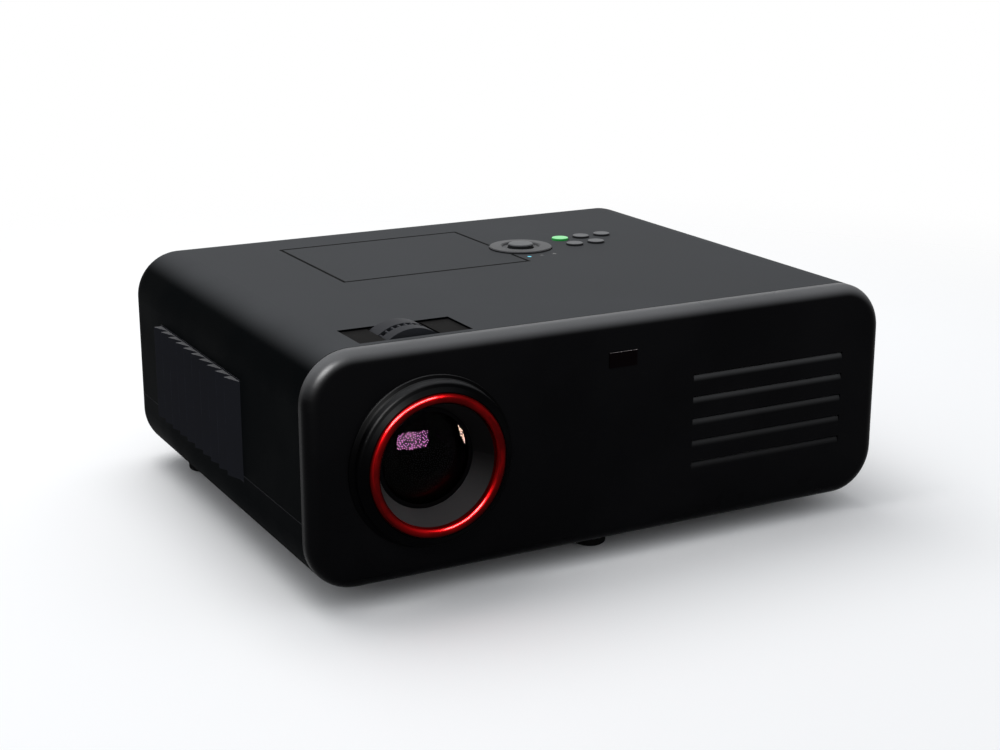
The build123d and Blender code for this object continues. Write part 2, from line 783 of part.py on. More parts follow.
frame_front = display_depth - half_thick
frame_back = display_depth + half_thick
panel_low = lens_level - panel_height / 2
panel_high = lens_level + panel_height / 2
panel_sheet = 2.2
display = upright(frame_half, frame_bottom, display_top_level, frame_front, frame_back)
display -= upright(view_width / 2, lens_level - view_height / 2, lens_level + view_height / 2,
                   frame_front - 1, frame_back + 1)
display -= upright(panel_width / 2 + 0.05, panel_low - 0.05, panel_high + 0.05, frame_front - 1,
                   frame_front + panel_sheet)
display += rod_x(display_depth, pivot_z, pivot_radius, lens_x - box_half_width + 0.2,
                 lens_x + box_half_width - 0.2)
lug = block(lens_x - lug_thickness / 2, lens_x + lug_thickness / 2, display_depth - lug_width / 2,
            display_depth + lug_width / 2, at_level(display_top_level) - 1, lug_top)
lug -= block(lens_x - lug_thickness, lens_x + lug_thickness, display_depth - drive_pin_radius - 0.15,
             display_depth + drive_pin_radius + 0.15, rod_bottom - 1.5, lug_top + 1)
nodes["lcd_frame"] = display + lug
nodes["lcd_panel"] = upright(panel_width / 2, panel_low, panel_high, frame_front, frame_front + panel_sheet)

# Light box with ribs that hold the plates
rib_width = 1.5
rib_reach = 3.0
fresnel_half = box_inner - 0.2
fresnel_top = box_top_level - 1.0
floor_inner = box_floor_level + box_wall
led_hole = 13.0
box_foot_inset = 20.0


def light_box():
    """The open-topped engine housing, with ribbed slots, pivots and its two round holes."""
    tub = upright(box_half_width, box_floor_level, box_top_level, box_front, box_back)
    tub -= upright(box_inner, floor_inner, box_top_level + 1, box_front + box_wall, box_back - box_wall)
    tub -= rod_y(lens_x, lens_z, tube_outer + 1.0, box_front - 1, box_front + 2 * box_wall)
    tub -= rod_y(lens_x, lens_z, led_hole, box_back - 2 * box_wall, box_back + 1)
    tub -= rod_x(display_depth, pivot_z, pivot_radius + slide_gap, lens_x - box_half_width - 1,
                 lens_x + box_half_width + 1)
    half_gap = fresnel_thickness / 2 + seat_gap
    for depth in (field_depth, collimator_depth, horn_front):
        for side in (-1, 1):
            x0, x1 = sorted((lens_x + side * (box_inner - rib_reach), lens_x + side * (box_inner + 0.5)))
            for near in (-half_gap - rib_width, half_gap):
                tub += block(x0, x1, depth + near, depth + near + rib_width,
                             at_level(floor_inner - 0.5), at_level(fresnel_top))
    for x in (lens_x - box_half_width + box_foot_inset, lens_x + box_half_width - box_foot_inset):
        for depth in (box_front + 8, box_back - 8):
            tub += rod_z(x, depth, 3.0, floor_z, at_level(box_floor_level) + 0.5)
    return tub


nodes["light_box"] = light_box()
lid = upright(box_half_width, box_top_level, box_top_level + lid_thickness, box_front, box_back)
lid += upright(box_inner - 0.3, box_top_level - 0.9, box_top_level + 1, box_front + box_wall + 0.3,
               box_back - box_wall - 0.3)
lug_swing = (box_top_level - display_pivot_level + lid_thickness) * tan(radians(rocker_angle))
lug_room = lug_width / 2 + lug_swing + 1.0
lid -= block(lens_x - lug_thickness - 1, lens_x + lug_thickness + 1, display_depth - lug_room,
             display_depth + lug_room, at_level(box_top_level) - 2, at_level(box_top_level) + 3)
nodes["light_box_lid"] = lid


def plate_in_slot(depth):
    """A plastic lens plate that stands on the floor of the light box, between its ribs."""
    return upright(fresnel_half, floor_inner, fresnel_top - 0.2, depth - fresnel_thickness / 2,
                   depth + fresnel_thickness / 2)


nodes["field_fresnel"] = plate_in_slot(field_depth)
nodes["collimator_fresnel"] = plate_in_slot(collimator_depth)


def horn_section(half_width, half_height, depth):
    """One rectangular section of the reflector."""
    plane = Plane((lens_x, at_depth(depth), lens_z), x_dir=(1, 0, 0), z_dir=(0, -1, 0))
    return plane * Rectangle(2 * half_width, 2 * half_height)


def reflector_horn():
    """A thin four-sided horn with a flange that stands in the last pair of ribs."""
    wide, high, throat = view_width / 2 + 2, view_height / 2 + 2, horn_throat / 2
    outer = loft([horn_section(wide, high, horn_front), horn_section(throat, throat, horn_back)])
    sheet = horn_sheet
    inner = loft([horn_section(wide - sheet, high - sheet, horn_front),
                  horn_section(throat - sheet, throat - sheet, horn_back)])
    half = fresnel_thickness / 2
    flange = upright(fresnel_half, floor_inner, fresnel_top - 0.2, horn_front - half, horn_front + half)
    flange -= upright(wide - sheet, lens_level - high + sheet, lens_level + high - sheet,
                      horn_front - half - 1, horn_front + half + 1)
    return flange + (outer - inner)


nodes["reflector_horn"] = reflector_horn()

# Lamp and its heatsink
led_half = 22.0
nodes["led_module"] = (
    block(lens_x - led_half, lens_x + led_half, box_back, box_back + led_board,
          lens_z - led_half, lens_z + led_half)
    + turned([(0, horn_back + 1.0), (6.0, horn_back + 1.8), (9.6, horn_back + 4.0),
              (10.0, box_back), (10.0, box_back + 0.5), (0, box_back + 0.5)]))


def heatsink():
    """A base plate with upright fins behind the lamp."""
    front = box_back + led_board
    half = heatsink_width / 2
    low, high = lens_z - heatsink_height / 2, lens_z + heatsink_height / 2
    sink = block(lens_x - half, lens_x + half, front, front + heatsink_base, low, high)
    step = (heatsink_width - fin_thickness) / (fin_count - 1)
    fins = []
    for index in range(fin_count):
        x = lens_x - half + step * index
        fins.append(block(x, x + fin_thickness, front + heatsink_base - 0.5,
                          front + heatsink_base + fin_depth, low, high))
    return sink + fins


nodes["heatsink"] = heatsink()


# Fans
def fan_frame(x, z, size, front, thick):
    """A square fan frame with a round duct, four spokes, a motor boss and corner holes."""
    half = size / 2
    back = front + thick
    duct = half - 2.0
    frame = along_y(Pos(x, z) * RectangleRounded(size, size, 4.0), front, back)
    frame -= rod_y(x, z, duct, front - 1, back + 1)
    hub = size * 0.2
    spoke = block(x - duct - 0.5, x + duct + 0.5, back - 2.0, back, z - 1.5, z + 1.5)
    spoke += block(x - 1.5, x + 1.5, back - 2.0, back, z - duct - 0.5, z + duct + 0.5)
    frame += spoke + rod_y(x, z, hub, back - 2.5, back)
    frame += rod_y(x, z, shaft_radius, front + 3.0, back - 1.0)
    hole = half - 5.0
    for sx in (-1, 1):
        for sz in (-1, 1):
            frame -= rod_y(x + sx * hole, z + sz * hole, 1.8, front - 1, back + 1)
    return frame


def fan_rotor(x, z, size, front, thick):
    """A hub cup with swept blades, bored for the frame's shaft."""
    tip = size / 2 - 2.0 - fan_tip_gap
    hub = size * 0.2
    depth0, depth1 = front + 1.5, front + thick - 3.2
    rotor = rod_y(x, z, hub, depth0, depth1)
    middle = (depth0 + depth1) / 2
    length = depth1 - depth0 - 1.0
    for index in range(blade_count):
        blade = Box(tip - hub + 2.0, blade_thickness, length * 1.1)
        blade = Rot(38, 0, 0) * blade
        blade = Pos((tip + hub - 2.0) / 2, 0, 0) * blade
        blade = Rot(0, 0, 360 / blade_count * index) * blade
        rotor += Pos(x, at_depth(middle), z) * Rot(90, 0, 0) * blade
    rotor = rotor & rod_y(x, z, tip, depth0, depth1)
    return rotor - rod_y(x, z, shaft_radius + slide_gap, depth0 + 1.5, depth1 + 1)


exhaust_z = at_level(exhaust_level)
exhaust = (exhaust_x, exhaust_z, exhaust_size, exhaust_depth, exhaust_thickness)
nodes["exhaust_fan_frame"] = fan_frame(*exhaust)
nodes["exhaust_fan_rotor"] = fan_rotor(*exhaust)
lamp_fan_front = body_depth - wall - 1.8 - lamp_fan_thickness
lamp_fan = (lens_x, lens_z, lamp_fan_size, lamp_fan_front, lamp_fan_thickness)
nodes["lamp_fan_frame"] = fan_frame(*lamp_fan)
nodes["lamp_fan_rotor"] = fan_rotor(*lamp_fan)

# Side vents
nodes["side_vent_left"] = side_vent()
nodes["side_vent_right"] = mirror(side_vent(), about=Plane.YZ)

# Speaker box, which the main board stands beside
speaker_inset = 26.0
speaker_width = 24.0
speaker_length = 56.0
speaker_rear_gap = 30.3
speaker_height = 56.0
speaker_right = body_width / 2 - speaker_inset
speaker_left = speaker_right - speaker_width
speaker_back = body_depth - speaker_rear_gap
speaker_front = speaker_back - speaker_length

# Boards. The main board stands high enough for its sockets to meet the rear panel.
main_depth = 92.6
main_level = 25.0
main_box_gap = 7.5
main_speaker_gap = 4.0
main_left = lens_x + box_half_width + main_box_gap
main_right = speaker_left - main_speaker_gap
main_back = body_depth - wall - 1.9
main_front = main_back - main_depth
main_top = at_level(main_level)
main_low = main_top - board_thickness
power_inset = 26.0
power_width = 100.0
power_front = 48.0
power_length = 88.0
power_level = 12.0
power_right = body_width / 2 - power_inset
power_left = power_right - power_width
power_back = power_front + power_length
power_top = at_level(power_level)
power_low = power_top - board_thickness
stand_radius = 3.0
stand_inset = 5.0


def corner_places(left, right, front, back):
    """The four corners of a board, each drawn in by the stands' inset."""
    return [(x, depth) for x in (left + stand_inset, right - stand_inset)
            for depth in (front + stand_inset, back - stand_inset)]


main_stands = corner_places(main_left, main_right, main_front, main_back)
power_stands = corner_places(power_left, power_right, power_front, power_back)

# Components on each board, as (X, depth, width, length, height) from its front left corner
main_chips = [
    (45, 25, 30, 30, 6.0), (85, 20, 15, 12, 1.6), (105, 20, 15, 12, 1.6), (85, 40, 12, 12, 1.4),
    (8, 7, 18, 8, 7.0), (110, 40, 28, 6, 5.0), (10, 35, 8, 8, 9.0)]
power_blocks = [
    (36, 30, 30, 26, 26.0), (8, 16, 22, 3, 28.0), (72, 66, 18, 14, 16.0)]
coil_place = (40, 26, 22, 34)
coil_low, coil_high = 5.0, 21.0
power_cans = [(16, 66, 9.0, 30.0), (78, 20, 6.0, 20.0)]


def components(left, front, top, sizes):
    """Plain component bodies that stand on a board."""
    return [block(left + x, left + x + wide, front + depth, front + depth + long, top - 0.2, top + tall)
            for x, depth, wide, long, tall in sizes]


def main_board():
    """The main circuit board with its heatspreader, chips and connectors."""
    board = block(main_left, main_right, main_front, main_back, main_low, main_top)
    return board + components(main_left, main_front, main_top, main_chips)


def power_board():
    """The power board with its transformer, bulk capacitor, coils and heat plate."""
    board = block(power_left, power_right, power_front, power_back, power_low, power_top)
    board += components(power_left, power_front, power_top, power_blocks)
    x, depth, wide, long = coil_place
    board += block(power_left + x, power_left + x + wide, power_front + depth, power_front + depth + long,
                   power_top + coil_low, power_top + coil_high)
    return board + [rod_z(power_left + x, power_front + depth, radius, power_top - 0.2, power_top + tall)
                    for x, depth, radius, tall in power_cans]


nodes["main_board"] = main_board()
nodes["power_board"] = power_board()

# Sockets, flush with the rear face
hdmi_width, hdmi_height, hdmi_length = 15.0, 5.6, 12.0
hdmi_centres = (20.0, 42.0)
hdmi_tongue, hdmi_tongue_rise = 1.2, 2.2
usb_width, usb_height, usb_length = 13.2, 5.8, 14.0
usb_centres = (62.0, 80.0)
usb_tongue, usb_tongue_rise = 1.8, 3.3
socket_sheet = 0.5
jack_x = 0.0
jack_radius = 1.8
jack_length = 14.0
jack_width = 8.0
jack_collar = 3.4
av_jack_x = -18.0
inlet_inset = 16.0
inlet_x = rear_half_width - inlet_inset
inlet_level = 48.0
inlet_width, inlet_height, inlet_length = 21.0, 13.0, 20.0
inlet_depth = 14.0
inlet_wall = 1.6
pin_radius = 1.2
pin_pitch = 8.6


def socket_shell(x, width, height, length, tongue, tongue_rise):
    """One sheet-metal receptacle on the main board, with its tongue."""
    front = body_depth - length
    half = width / 2
    inner = half - socket_sheet
    shell_box = block(x - half, x + half, front, body_depth, main_top, main_top + height)
    shell_box -= block(x - inner, x + inner, front + 2.0, body_depth + 1,
                       main_top + socket_sheet, main_top + height - socket_sheet)
    low = main_top + tongue_rise
    narrow = half - 1.6
    return shell_box + block(x - narrow, x + narrow, front + 1.0, body_depth - 1.0, low, low + tongue)


def joined(solids):
    """Several separate solids as one group."""
    group = solids[0]
    for solid in solids[1:]:
        group = group + solid
    return group


nodes["hdmi_sockets"] = joined([
    socket_shell(x, hdmi_width, hdmi_height, hdmi_length, hdmi_tongue, hdmi_tongue_rise)
    for x in hdmi_centres])
nodes["usb_sockets"] = joined([
    socket_shell(x, usb_width, usb_height, usb_length, usb_tongue, usb_tongue_rise)
    for x in usb_centres])


def audio_jack(x):
    """A board-mounted jack for a 3.5 mm plug."""
    half = jack_width / 2
    middle = main_top + half
    front = body_depth - jack_length - 1.0
    body = block(x - half, x + half, front, body_depth - wall, main_top, main_top + jack_width)
    body += rod_y(x, middle, jack_collar, body_depth - wall - 1, body_depth)
    return body - rod_y(x, middle, jack_radius, body_depth - jack_length, body_depth + 1)


nodes["audio_jacks"] = joined([audio_jack(x) for x in (jack_x, av_jack_x)])


def power_inlet():
    """A two-pin figure-eight mains inlet."""
    z = at_level(inlet_level)
    front = body_depth - inlet_length
    outline = Pos(inlet_x, z) * RectangleRounded(inlet_width, inlet_height, 3.0)
    inlet = along_y(outline, front, body_depth)
    flange = Pos(inlet_x, z) * RectangleRounded(inlet_width + 4, inlet_height + 4, 3.0)
    inlet += along_y(flange, body_depth - wall - 1.5, body_depth - wall)
    mouth = RectangleRounded(inlet_width - 2 * inlet_wall, inlet_height - 2 * inlet_wall, 3.0)
    inlet -= along_y(Pos(inlet_x, z) * mouth, body_depth - inlet_depth, body_depth + 1)
    return inlet + [rod_y(inlet_x + side * pin_pitch / 2, z, pin_radius, body_depth - inlet_depth - 1,
                          body_depth - 3.0) for side in (-1, 1)]


nodes["power_inlet"] = power_inlet()

# Rear panel
grille_count = 9
grille_pitch = 6.0
grille_slot = 3.0
grille_half = 26.0


def rear_panel():
    """The back plate: an inner flange, the sockets' cut-outs and the lamp fan's grille."""
    plate = along_y(plate_profile(rear_half_width, rear_bottom, rear_top, 4.0), body_depth - wall - 0.5,
                    body_depth)
    flange = plate_profile(rear_half_width + rear_flange, rear_bottom - rear_flange,
                           rear_top + rear_flange, 6.0)
    plate += along_y(flange, body_depth - wall - 1.8, body_depth - wall)
    low = body_depth - 4 * wall
    for index in range(grille_count):
        z = lens_z + grille_pitch * (index - (grille_count - 1) / 2)
        plate -= block(lens_x - grille_half, lens_x + grille_half, low, body_depth + 1,
                       z - grille_slot / 2, z + grille_slot / 2)
    socket_gap = 0.15
    for x, width, height in ([(x, hdmi_width, hdmi_height) for x in hdmi_centres]
                             + [(x, usb_width, usb_height) for x in usb_centres]):
        plate -= block(x - width / 2 - socket_gap, x + width / 2 + socket_gap, low, body_depth + 1,
                       main_top - socket_gap, main_top + height + socket_gap)
    for x in (jack_x, av_jack_x):
        half = jack_width / 2 + socket_gap
        plate -= rod_y(x, main_top + jack_width / 2, jack_collar + seat_gap, low, body_depth + 1)
        plate -= block(x - half, x + half, low, body_depth - wall,
                       main_top - socket_gap, main_top + jack_width + socket_gap)
    z = at_level(inlet_level)
    plate -= along_y(Pos(inlet_x, z) * RectangleRounded(inlet_width + 0.3, inlet_height + 0.3, 3.1),
                     low, body_depth + 1)
    plate -= along_y(Pos(inlet_x, z) * RectangleRounded(inlet_width + 4.3, inlet_height + 4.3, 3.1),
                     low, body_depth - wall)
    return plate


nodes["rear_panel"] = rear_panel()

# Bottom tray
front_boss_radius = 7.0
front_boss_top = at_level(24.0)
insert_outer = 5.0
ceiling_insert_outer = 3.5
tripod_outer = 5.0
boss_rise = 9.0
mount_middle = -front_y
ceiling_places = [(sx * ceiling_spacing_x / 2, mount_middle + sy * ceiling_spacing_y / 2)
                  for sx in (-1, 1) for sy in (-1, 1)]
foot_clear = 0.3
cradle_half = 30.0
cradle_rib = 1.5
slot_count = 8
slot_pitch = 9.0
slot_half_length = 34.0
slot_width = 3.0
slot_first = 90.0


def bottom_tray():
    """The lower shell, with its posts, board stands, fan cradle, bosses and intake slots."""
    tray = shell & slab(bezel_depth, body_depth + 1, below, seam_z)
    tray -= rabbet & slab(bezel_depth - 1, bezel_depth + lip_height + lip_gap, below, above)
    tray -= reveal & slab(bezel_depth - 1, bezel_depth + reveal_width, below, above)
    ring_lip = tongue & slab(bezel_depth + lip_height + 0.3, body_depth + 1, seam_z - 1, seam_z + lip_height)
    tray += ring_lip
    tray += post_form(post_radius + 1.0, base_z + 0.5, seam_z) & outer_form
    tray -= post_form(screw_hole, below, seam_z + 1)
    tray -= post_form(screw_head + 0.3, below, base_z + screw_sink)
    tray += rod_z(0, foot_depth, front_boss_radius, floor_z - 0.5, front_boss_top)
    tray -= rod_z(0, foot_depth, insert_outer, below, front_boss_top - 1.5)
    tray += [rod_z(x, depth, stand_radius, floor_z - 0.5, main_low) for x, depth in main_stands]
    tray += [rod_z(x, depth, stand_radius, floor_z - 0.5, power_low) for x, depth in power_stands]
    tray += [rod_z(x, depth, ceiling_insert_outer + 1.8, floor_z - 0.5, base_z + boss_rise)
             for x, depth in ceiling_places]
    tray -= [rod_z(x, depth, ceiling_insert_outer, below, base_z + insert_length)
             for x, depth in ceiling_places]
    tray += rod_z(0, mount_middle, tripod_outer + 2.0, floor_z - 0.5, base_z + boss_rise)
    tray -= rod_z(0, mount_middle, tripod_outer, below, base_z + insert_length)
    low = exhaust_z - exhaust_size / 2
    fan_back = exhaust_depth + exhaust_thickness
    for x in (exhaust_x - cradle_half, exhaust_x + cradle_half):
        tray += block(x - cradle_rib, x + cradle_rib, exhaust_depth, fan_back, floor_z - 0.5, low)
        tray += block(x - cradle_rib, x + cradle_rib, fan_back, fan_back + 2.0, floor_z - 0.5, low + 8.0)
    for index in range(slot_count):
        depth = slot_first + slot_pitch * index
        tray -= block(lens_x - slot_half_length, lens_x + slot_half_length, depth, depth + slot_width,
                      below, floor_z + 0.5)
    tray -= [rod_z(sx * rear_foot_x, rear_foot_depth, 3.0 + seat_gap, below, floor_z + 0.5) for sx in (-1, 1)]
    tray -= rear_opening(seat_gap)
    return tray - [vent_hole(side, seat_gap) for side in (-1, 1)]


nodes["bottom_tray"] = bottom_tray()

# Threaded inserts, screws and feet
inserts = [rod_z(x, depth, ceiling_insert_outer, base_z, base_z + insert_length)
           - rod_z(x, depth, ceiling_bore, base_z - 1, base_z + insert_length - 0.8)
           for x, depth in ceiling_places]
inserts.append(rod_z(0, mount_middle, tripod_outer, base_z, base_z + insert_length)
               - rod_z(0, mount_middle, tripod_bore, base_z - 1, base_z + insert_length - 0.8))
inserts.append(rod_z(0, foot_depth, insert_outer, base_z + 0.5, front_boss_top - 1.5)
               - rod_z(0, foot_depth, screw_radius + slide_gap, base_z, front_boss_top))
nodes["thread_inserts"] = joined(inserts)
screw_z = base_z + screw_sink - screw_head_height
nodes["case_screws"] = joined([
    rod_z(x, depth, screw_head, screw_z, base_z + screw_sink)
    + rod_z(x, depth, screw_shank, base_z + screw_sink - 0.5, screw_z + screw_length)
    - rod_z(x, depth, 1.2, screw_z - 1, screw_z + 1.1)
    for x, depth in post_places])


def rubber_foot(x):
    """A rear foot with a rounded lower edge and a plug in the tray."""
    foot = rod_z(x, rear_foot_depth, rear_foot_radius, 0, base_z)
    foot = fillet(foot.edges().sort_by(Axis.Z)[0], 2.0)
    return foot + rod_z(x, rear_foot_depth, 3.0, base_z - 0.5, base_z + wall)


nodes["rear_feet"] = joined([rubber_foot(side * rear_foot_x) for side in (-1, 1)])
pad = rod_z(0, foot_depth, foot_radius, 0, foot_pad_height)
nodes["foot_pad"] = fillet(pad.edges().sort_by(Axis.Z)[0], 1.6)
knob = rod_z(0, foot_depth, foot_radius - 0.4, foot_pad_height, base_z - foot_clear)
knurl_count = 16
knob -= [Pos((foot_radius - 0.4) * cos(2 * pi * k / knurl_count),
             at_depth(foot_depth) + (foot_radius - 0.4) * sin(2 * pi * k / knurl_count),
             (foot_pad_height + base_z) / 2) * Cylinder(0.6, base_z) for k in range(knurl_count)]
foot_screw_top = front_boss_top - 3.0
nodes["foot_screw"] = knob + rod_z(0, foot_depth, screw_radius, base_z - foot_clear - 0.5, foot_screw_top)


# Speaker
driver_length, driver_height = 46.0, 34.0
driver_rise = 32.0
cone_length, cone_height = 28.0, 14.0


def speaker():
    """A closed speaker box with an oval driver that faces the right vent."""
    box = block(speaker_left, speaker_right, speaker_front, speaker_back, floor_z, floor_z + speaker_height)
    middle = (speaker_front + speaker_back) / 2
    face = Plane((speaker_right - 2.0, at_depth(middle), floor_z + driver_rise), x_dir=(0, 1, 0),
                 z_dir=(1, 0, 0))
    box -= extrude(face * SlotOverall(driver_length, driver_height), 5)
    cone = loft([face.offset(0.0) * SlotOverall(cone_length, cone_height),
                 face.offset(1.6) * SlotOverall(cone_length / 2, cone_height / 2)])
    return box + cone


nodes["speaker"] = speaker()

# Keys
key_board_top = key_board_z + board_thickness
dome_height = 0.5
dome_radius = 2.6
key_places = list(button_places.values()) + [(nav_x, nav_depth)]
nub_ring = 14.0
nub_places = [(nav_x + nub_ring * dx, nav_depth + nub_ring * dy)
              for dx, dy in ((1, 0), (-1, 0), (0, 1), (0, -1))]


def key_board():
    """The small board under the keys, with a dome switch for each."""
    board = block(board_left, board_right, board_front, board_back, key_board_z, key_board_top)
    for x, depth in key_places + nub_places:
        board += rod_z(x, depth, dome_radius, key_board_top - 0.2, key_board_top + dome_height)
    return board


nodes["key_board"] = key_board()
stem_bottom = key_board_top + dome_height + button_travel + 0.05
flange_top = ceiling_z - seat_gap


def round_button(x, depth):
    """A domed cap with a retaining flange and a stem over its switch."""
    cap = rod_z(x, depth, button_radius, flange_top - 0.5, top_z + button_proud)
    cap = fillet(cap.edges().sort_by(Axis.Z)[-1], 0.5)
    cap += rod_z(x, depth, button_radius + 1.0, flange_top - 1.0, flange_top)
    return cap + rod_z(x, depth, 2.2, stem_bottom, flange_top - 0.5)


for name, (x, depth) in button_places.items():
    nodes[name] = round_button(x, depth)

nav_y = at_depth(nav_depth)
plate_top = ceiling_z - 0.8
plate_thickness = 1.2
plate_outer = nav_hole + 1.2
plate_inner = ok_radius + 0.7
ridge = 0.6
rocker_z = plate_top
trunnion_radius = ceiling_z - seat_gap - rocker_z
trunnion_reach = plate_outer + 0.8
nub_bottom = key_board_top + dome_height + 0.6


def nav_plate():
    """The rocker under the ring: four nubs, two round trunnions, and a round ridge on top."""
    plate = rod_z(nav_x, nav_depth, plate_outer, plate_top - plate_thickness, plate_top)
    plate += rod_x(nav_depth, rocker_z, ridge, nav_x - nav_radius + 1.5, nav_x + nav_radius - 1.5)
    plate += rod_y(nav_x, rocker_z, trunnion_radius, nav_depth - trunnion_reach, nav_depth - nav_hole - 0.2)
    plate += rod_y(nav_x, rocker_z, trunnion_radius, nav_depth + nav_hole + 0.2, nav_depth + trunnion_reach)
    plate += [rod_z(x, depth, 1.2, nub_bottom, plate_top - plate_thickness + 0.3) for x, depth in nub_places]
    return plate - rod_z(nav_x, nav_depth, plate_inner, nub_bottom - 1, plate_top + 2)


nodes["nav_plate"] = nav_plate()


def upright_turned(points):
    """A turned piece about the upright axis of the navigation keys, from (radius, Z) points."""
    plane = Plane((nav_x, nav_y, 0), x_dir=(1, 0, 0), z_dir=(0, -1, 0))
    return revolve(plane * make_face(Polyline(points, close=True)), Axis((nav_x, nav_y, 0), (0, 0, 1)))


nav_top = top_z + nav_proud
ring_low = plate_top + ridge + 0.1
dish_outer = 10.7
nav_bore = ok_radius + 0.5
nodes["nav_ring"] = upright_turned([
    (nav_bore, ring_low), (nav_radius, ring_low), (nav_radius, nav_top - 0.5), (nav_radius - 0.5, nav_top),
    (dish_outer + 0.8, nav_top + 0.2), (dish_outer, nav_top - 0.2), (dish_outer - 0.6, nav_top - 0.9),
    (nav_bore, nav_top - 0.9)])
ok_top = top_z + ok_proud
ok_flange_top = plate_top - plate_thickness - 0.4
nodes["ok_button"] = upright_turned([
    (0, stem_bottom), (2.6, stem_bottom), (2.6, ok_flange_top - 1.0), (ok_radius + 1.2, ok_flange_top - 1.0),
    (ok_radius + 1.2, ok_flange_top), (ok_radius, ok_flange_top), (ok_radius, ok_top - 0.6),
    (ok_radius - 0.5, ok_top - 0.1), (ok_radius - 1.4, ok_top), (0, ok_top)])
nodes["status_lights"] = joined([
    rod_z(x, depth, lamp_radius, key_board_top, top_z + 0.1) for x, depth in lamp_places])

os.makedirs("parts", exist_ok=True)
for name, solid in nodes.items():
    solid.label = name
    export_step(solid, f"parts/{name}.step")
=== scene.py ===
"""A home projector, dressed for its portrait: finishes, small fittings, studio and camera."""
from __future__ import annotations

import json
import logging
import math
from collections.abc import Iterable, Sequence
from dataclasses import dataclass
from enum import Enum

import bmesh
import bpy
from mathutils import Matrix, Vector

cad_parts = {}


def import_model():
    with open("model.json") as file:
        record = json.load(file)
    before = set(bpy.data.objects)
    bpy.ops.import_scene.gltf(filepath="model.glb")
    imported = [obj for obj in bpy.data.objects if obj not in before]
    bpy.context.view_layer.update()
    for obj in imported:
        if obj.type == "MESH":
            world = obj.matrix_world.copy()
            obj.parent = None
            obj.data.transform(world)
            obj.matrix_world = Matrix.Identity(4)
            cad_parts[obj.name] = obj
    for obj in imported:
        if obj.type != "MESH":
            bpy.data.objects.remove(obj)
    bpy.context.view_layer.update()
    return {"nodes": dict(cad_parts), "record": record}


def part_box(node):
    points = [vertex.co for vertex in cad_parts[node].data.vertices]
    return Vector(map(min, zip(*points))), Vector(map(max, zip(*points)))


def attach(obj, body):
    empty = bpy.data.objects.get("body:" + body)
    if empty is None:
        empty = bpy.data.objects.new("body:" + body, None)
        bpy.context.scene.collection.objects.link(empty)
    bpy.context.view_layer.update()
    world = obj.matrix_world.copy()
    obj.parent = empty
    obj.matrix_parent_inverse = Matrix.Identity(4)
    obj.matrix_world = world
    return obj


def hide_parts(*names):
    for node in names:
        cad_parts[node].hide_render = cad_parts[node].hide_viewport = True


log = logging.getLogger("projector")
MM = 0.001
SHARP_ANGLE = math.radians(35.0)
Colour = tuple[float, float, float]
WHITE: Colour = (1.0, 1.0, 1.0)
DUST_COLOUR: Colour = (0.32, 0.31, 0.3)
# How far slow patches take a plastic's roughness down and up.
ROUGH_BELOW, ROUGH_ABOVE = 0.05, 0.06
# The darkest and lightest shade of a metal's streaks, and the smoothest and roughest of them, as factors.
STREAK_SHADES, STREAK_ROUGHNESS = (0.88, 1.1), (0.85, 1.2)
# The fourth number of a colour socket.
OPAQUE = 1.0


class Axis(Enum):
    """The way that a turned piece points, from its own Z."""

    UP = Matrix.Identity(3)
    DOWN = Matrix.Rotation(math.pi, 3, "X")
    BACK = Matrix.Rotation(-math.pi / 2, 3, "X")


class Sheet:
    """A node tree that is written from left to right."""

    def __init__(self, tree: bpy.types.NodeTree) -> None:
        """Args: tree: the material's, world's or group's tree. It is emptied."""
        self.tree = tree
        tree.nodes.clear()

    def add(self, kind: str, settings: dict | None = None, **inputs: object) -> bpy.types.Node:
        """Adds a node, with its options and the values or links of its inputs.

        Args:
            kind: the node's type name.
            settings: properties of the node itself.
            inputs: values or output sockets by input name, with spaces as underscores.

        Returns:
            The new node.
        """
        node = self.tree.nodes.new(kind)
        for key, value in (settings or {}).items():
            setattr(node, key, value)
        for key, value in inputs.items():
            self.put(node.inputs[key.replace("_", " ")], value)
        return node

    def put(self, socket: bpy.types.NodeSocket, value: object) -> None:
        """Links an output socket to an input, or sets the input to a value."""
        if isinstance(value, bpy.types.NodeSocket):
            self.tree.links.new(value, socket)
        else:
            socket.default_value = value

    def group(self, tree: bpy.types.NodeTree, **inputs: object) -> bpy.types.Node:
        """Places a node group, with the values or links of its named inputs."""
        return self.add("ShaderNodeGroup", {"node_tree": tree}, **inputs)

    def math(self, operation: str, *values: object) -> bpy.types.NodeSocket:
        """A sum of one to three values, as a socket."""
        node = self.add("ShaderNodeMath", {"operation": operation})
        for socket, value in zip(node.inputs, values):
            self.put(socket, value)
        return node.outputs[0]

    def blend(self, mask: object, low: object, high: object, mode: str = "MIX") -> bpy.types.NodeSocket:
        """A colour between low and high, as the mask goes from 0 to 1."""
        node = self.add("ShaderNodeMix", {"data_type": "RGBA", "blend_type": mode, "clamp_factor": True})
        for name, value in (("Factor_Float", mask), ("A_Color", low), ("B_Color", high)):
            socket = next(s for s in node.inputs if s.identifier == name)
            self.put(socket, value if isinstance(value, (bpy.types.NodeSocket, float)) else (*value, OPAQUE))
        return next(s for s in node.outputs if s.identifier == "Result_Color")

    def ramp(
        self, value: object, low: float, high: float, start: float = 0.0, end: float = 1.0
    ) -> bpy.types.NodeSocket:
        """A value carried smoothly from one range to another, as a socket."""
        settings = {"interpolation_type": "SMOOTHSTEP"}
        node = self.add("ShaderNodeMapRange", settings, Value=value)
        limits = (("From Min", low), ("From Max", high), ("To Min", start), ("To Max", end))
        for name, limit in limits:
            self.put(node.inputs[name], limit)
        return node.outputs["Result"]


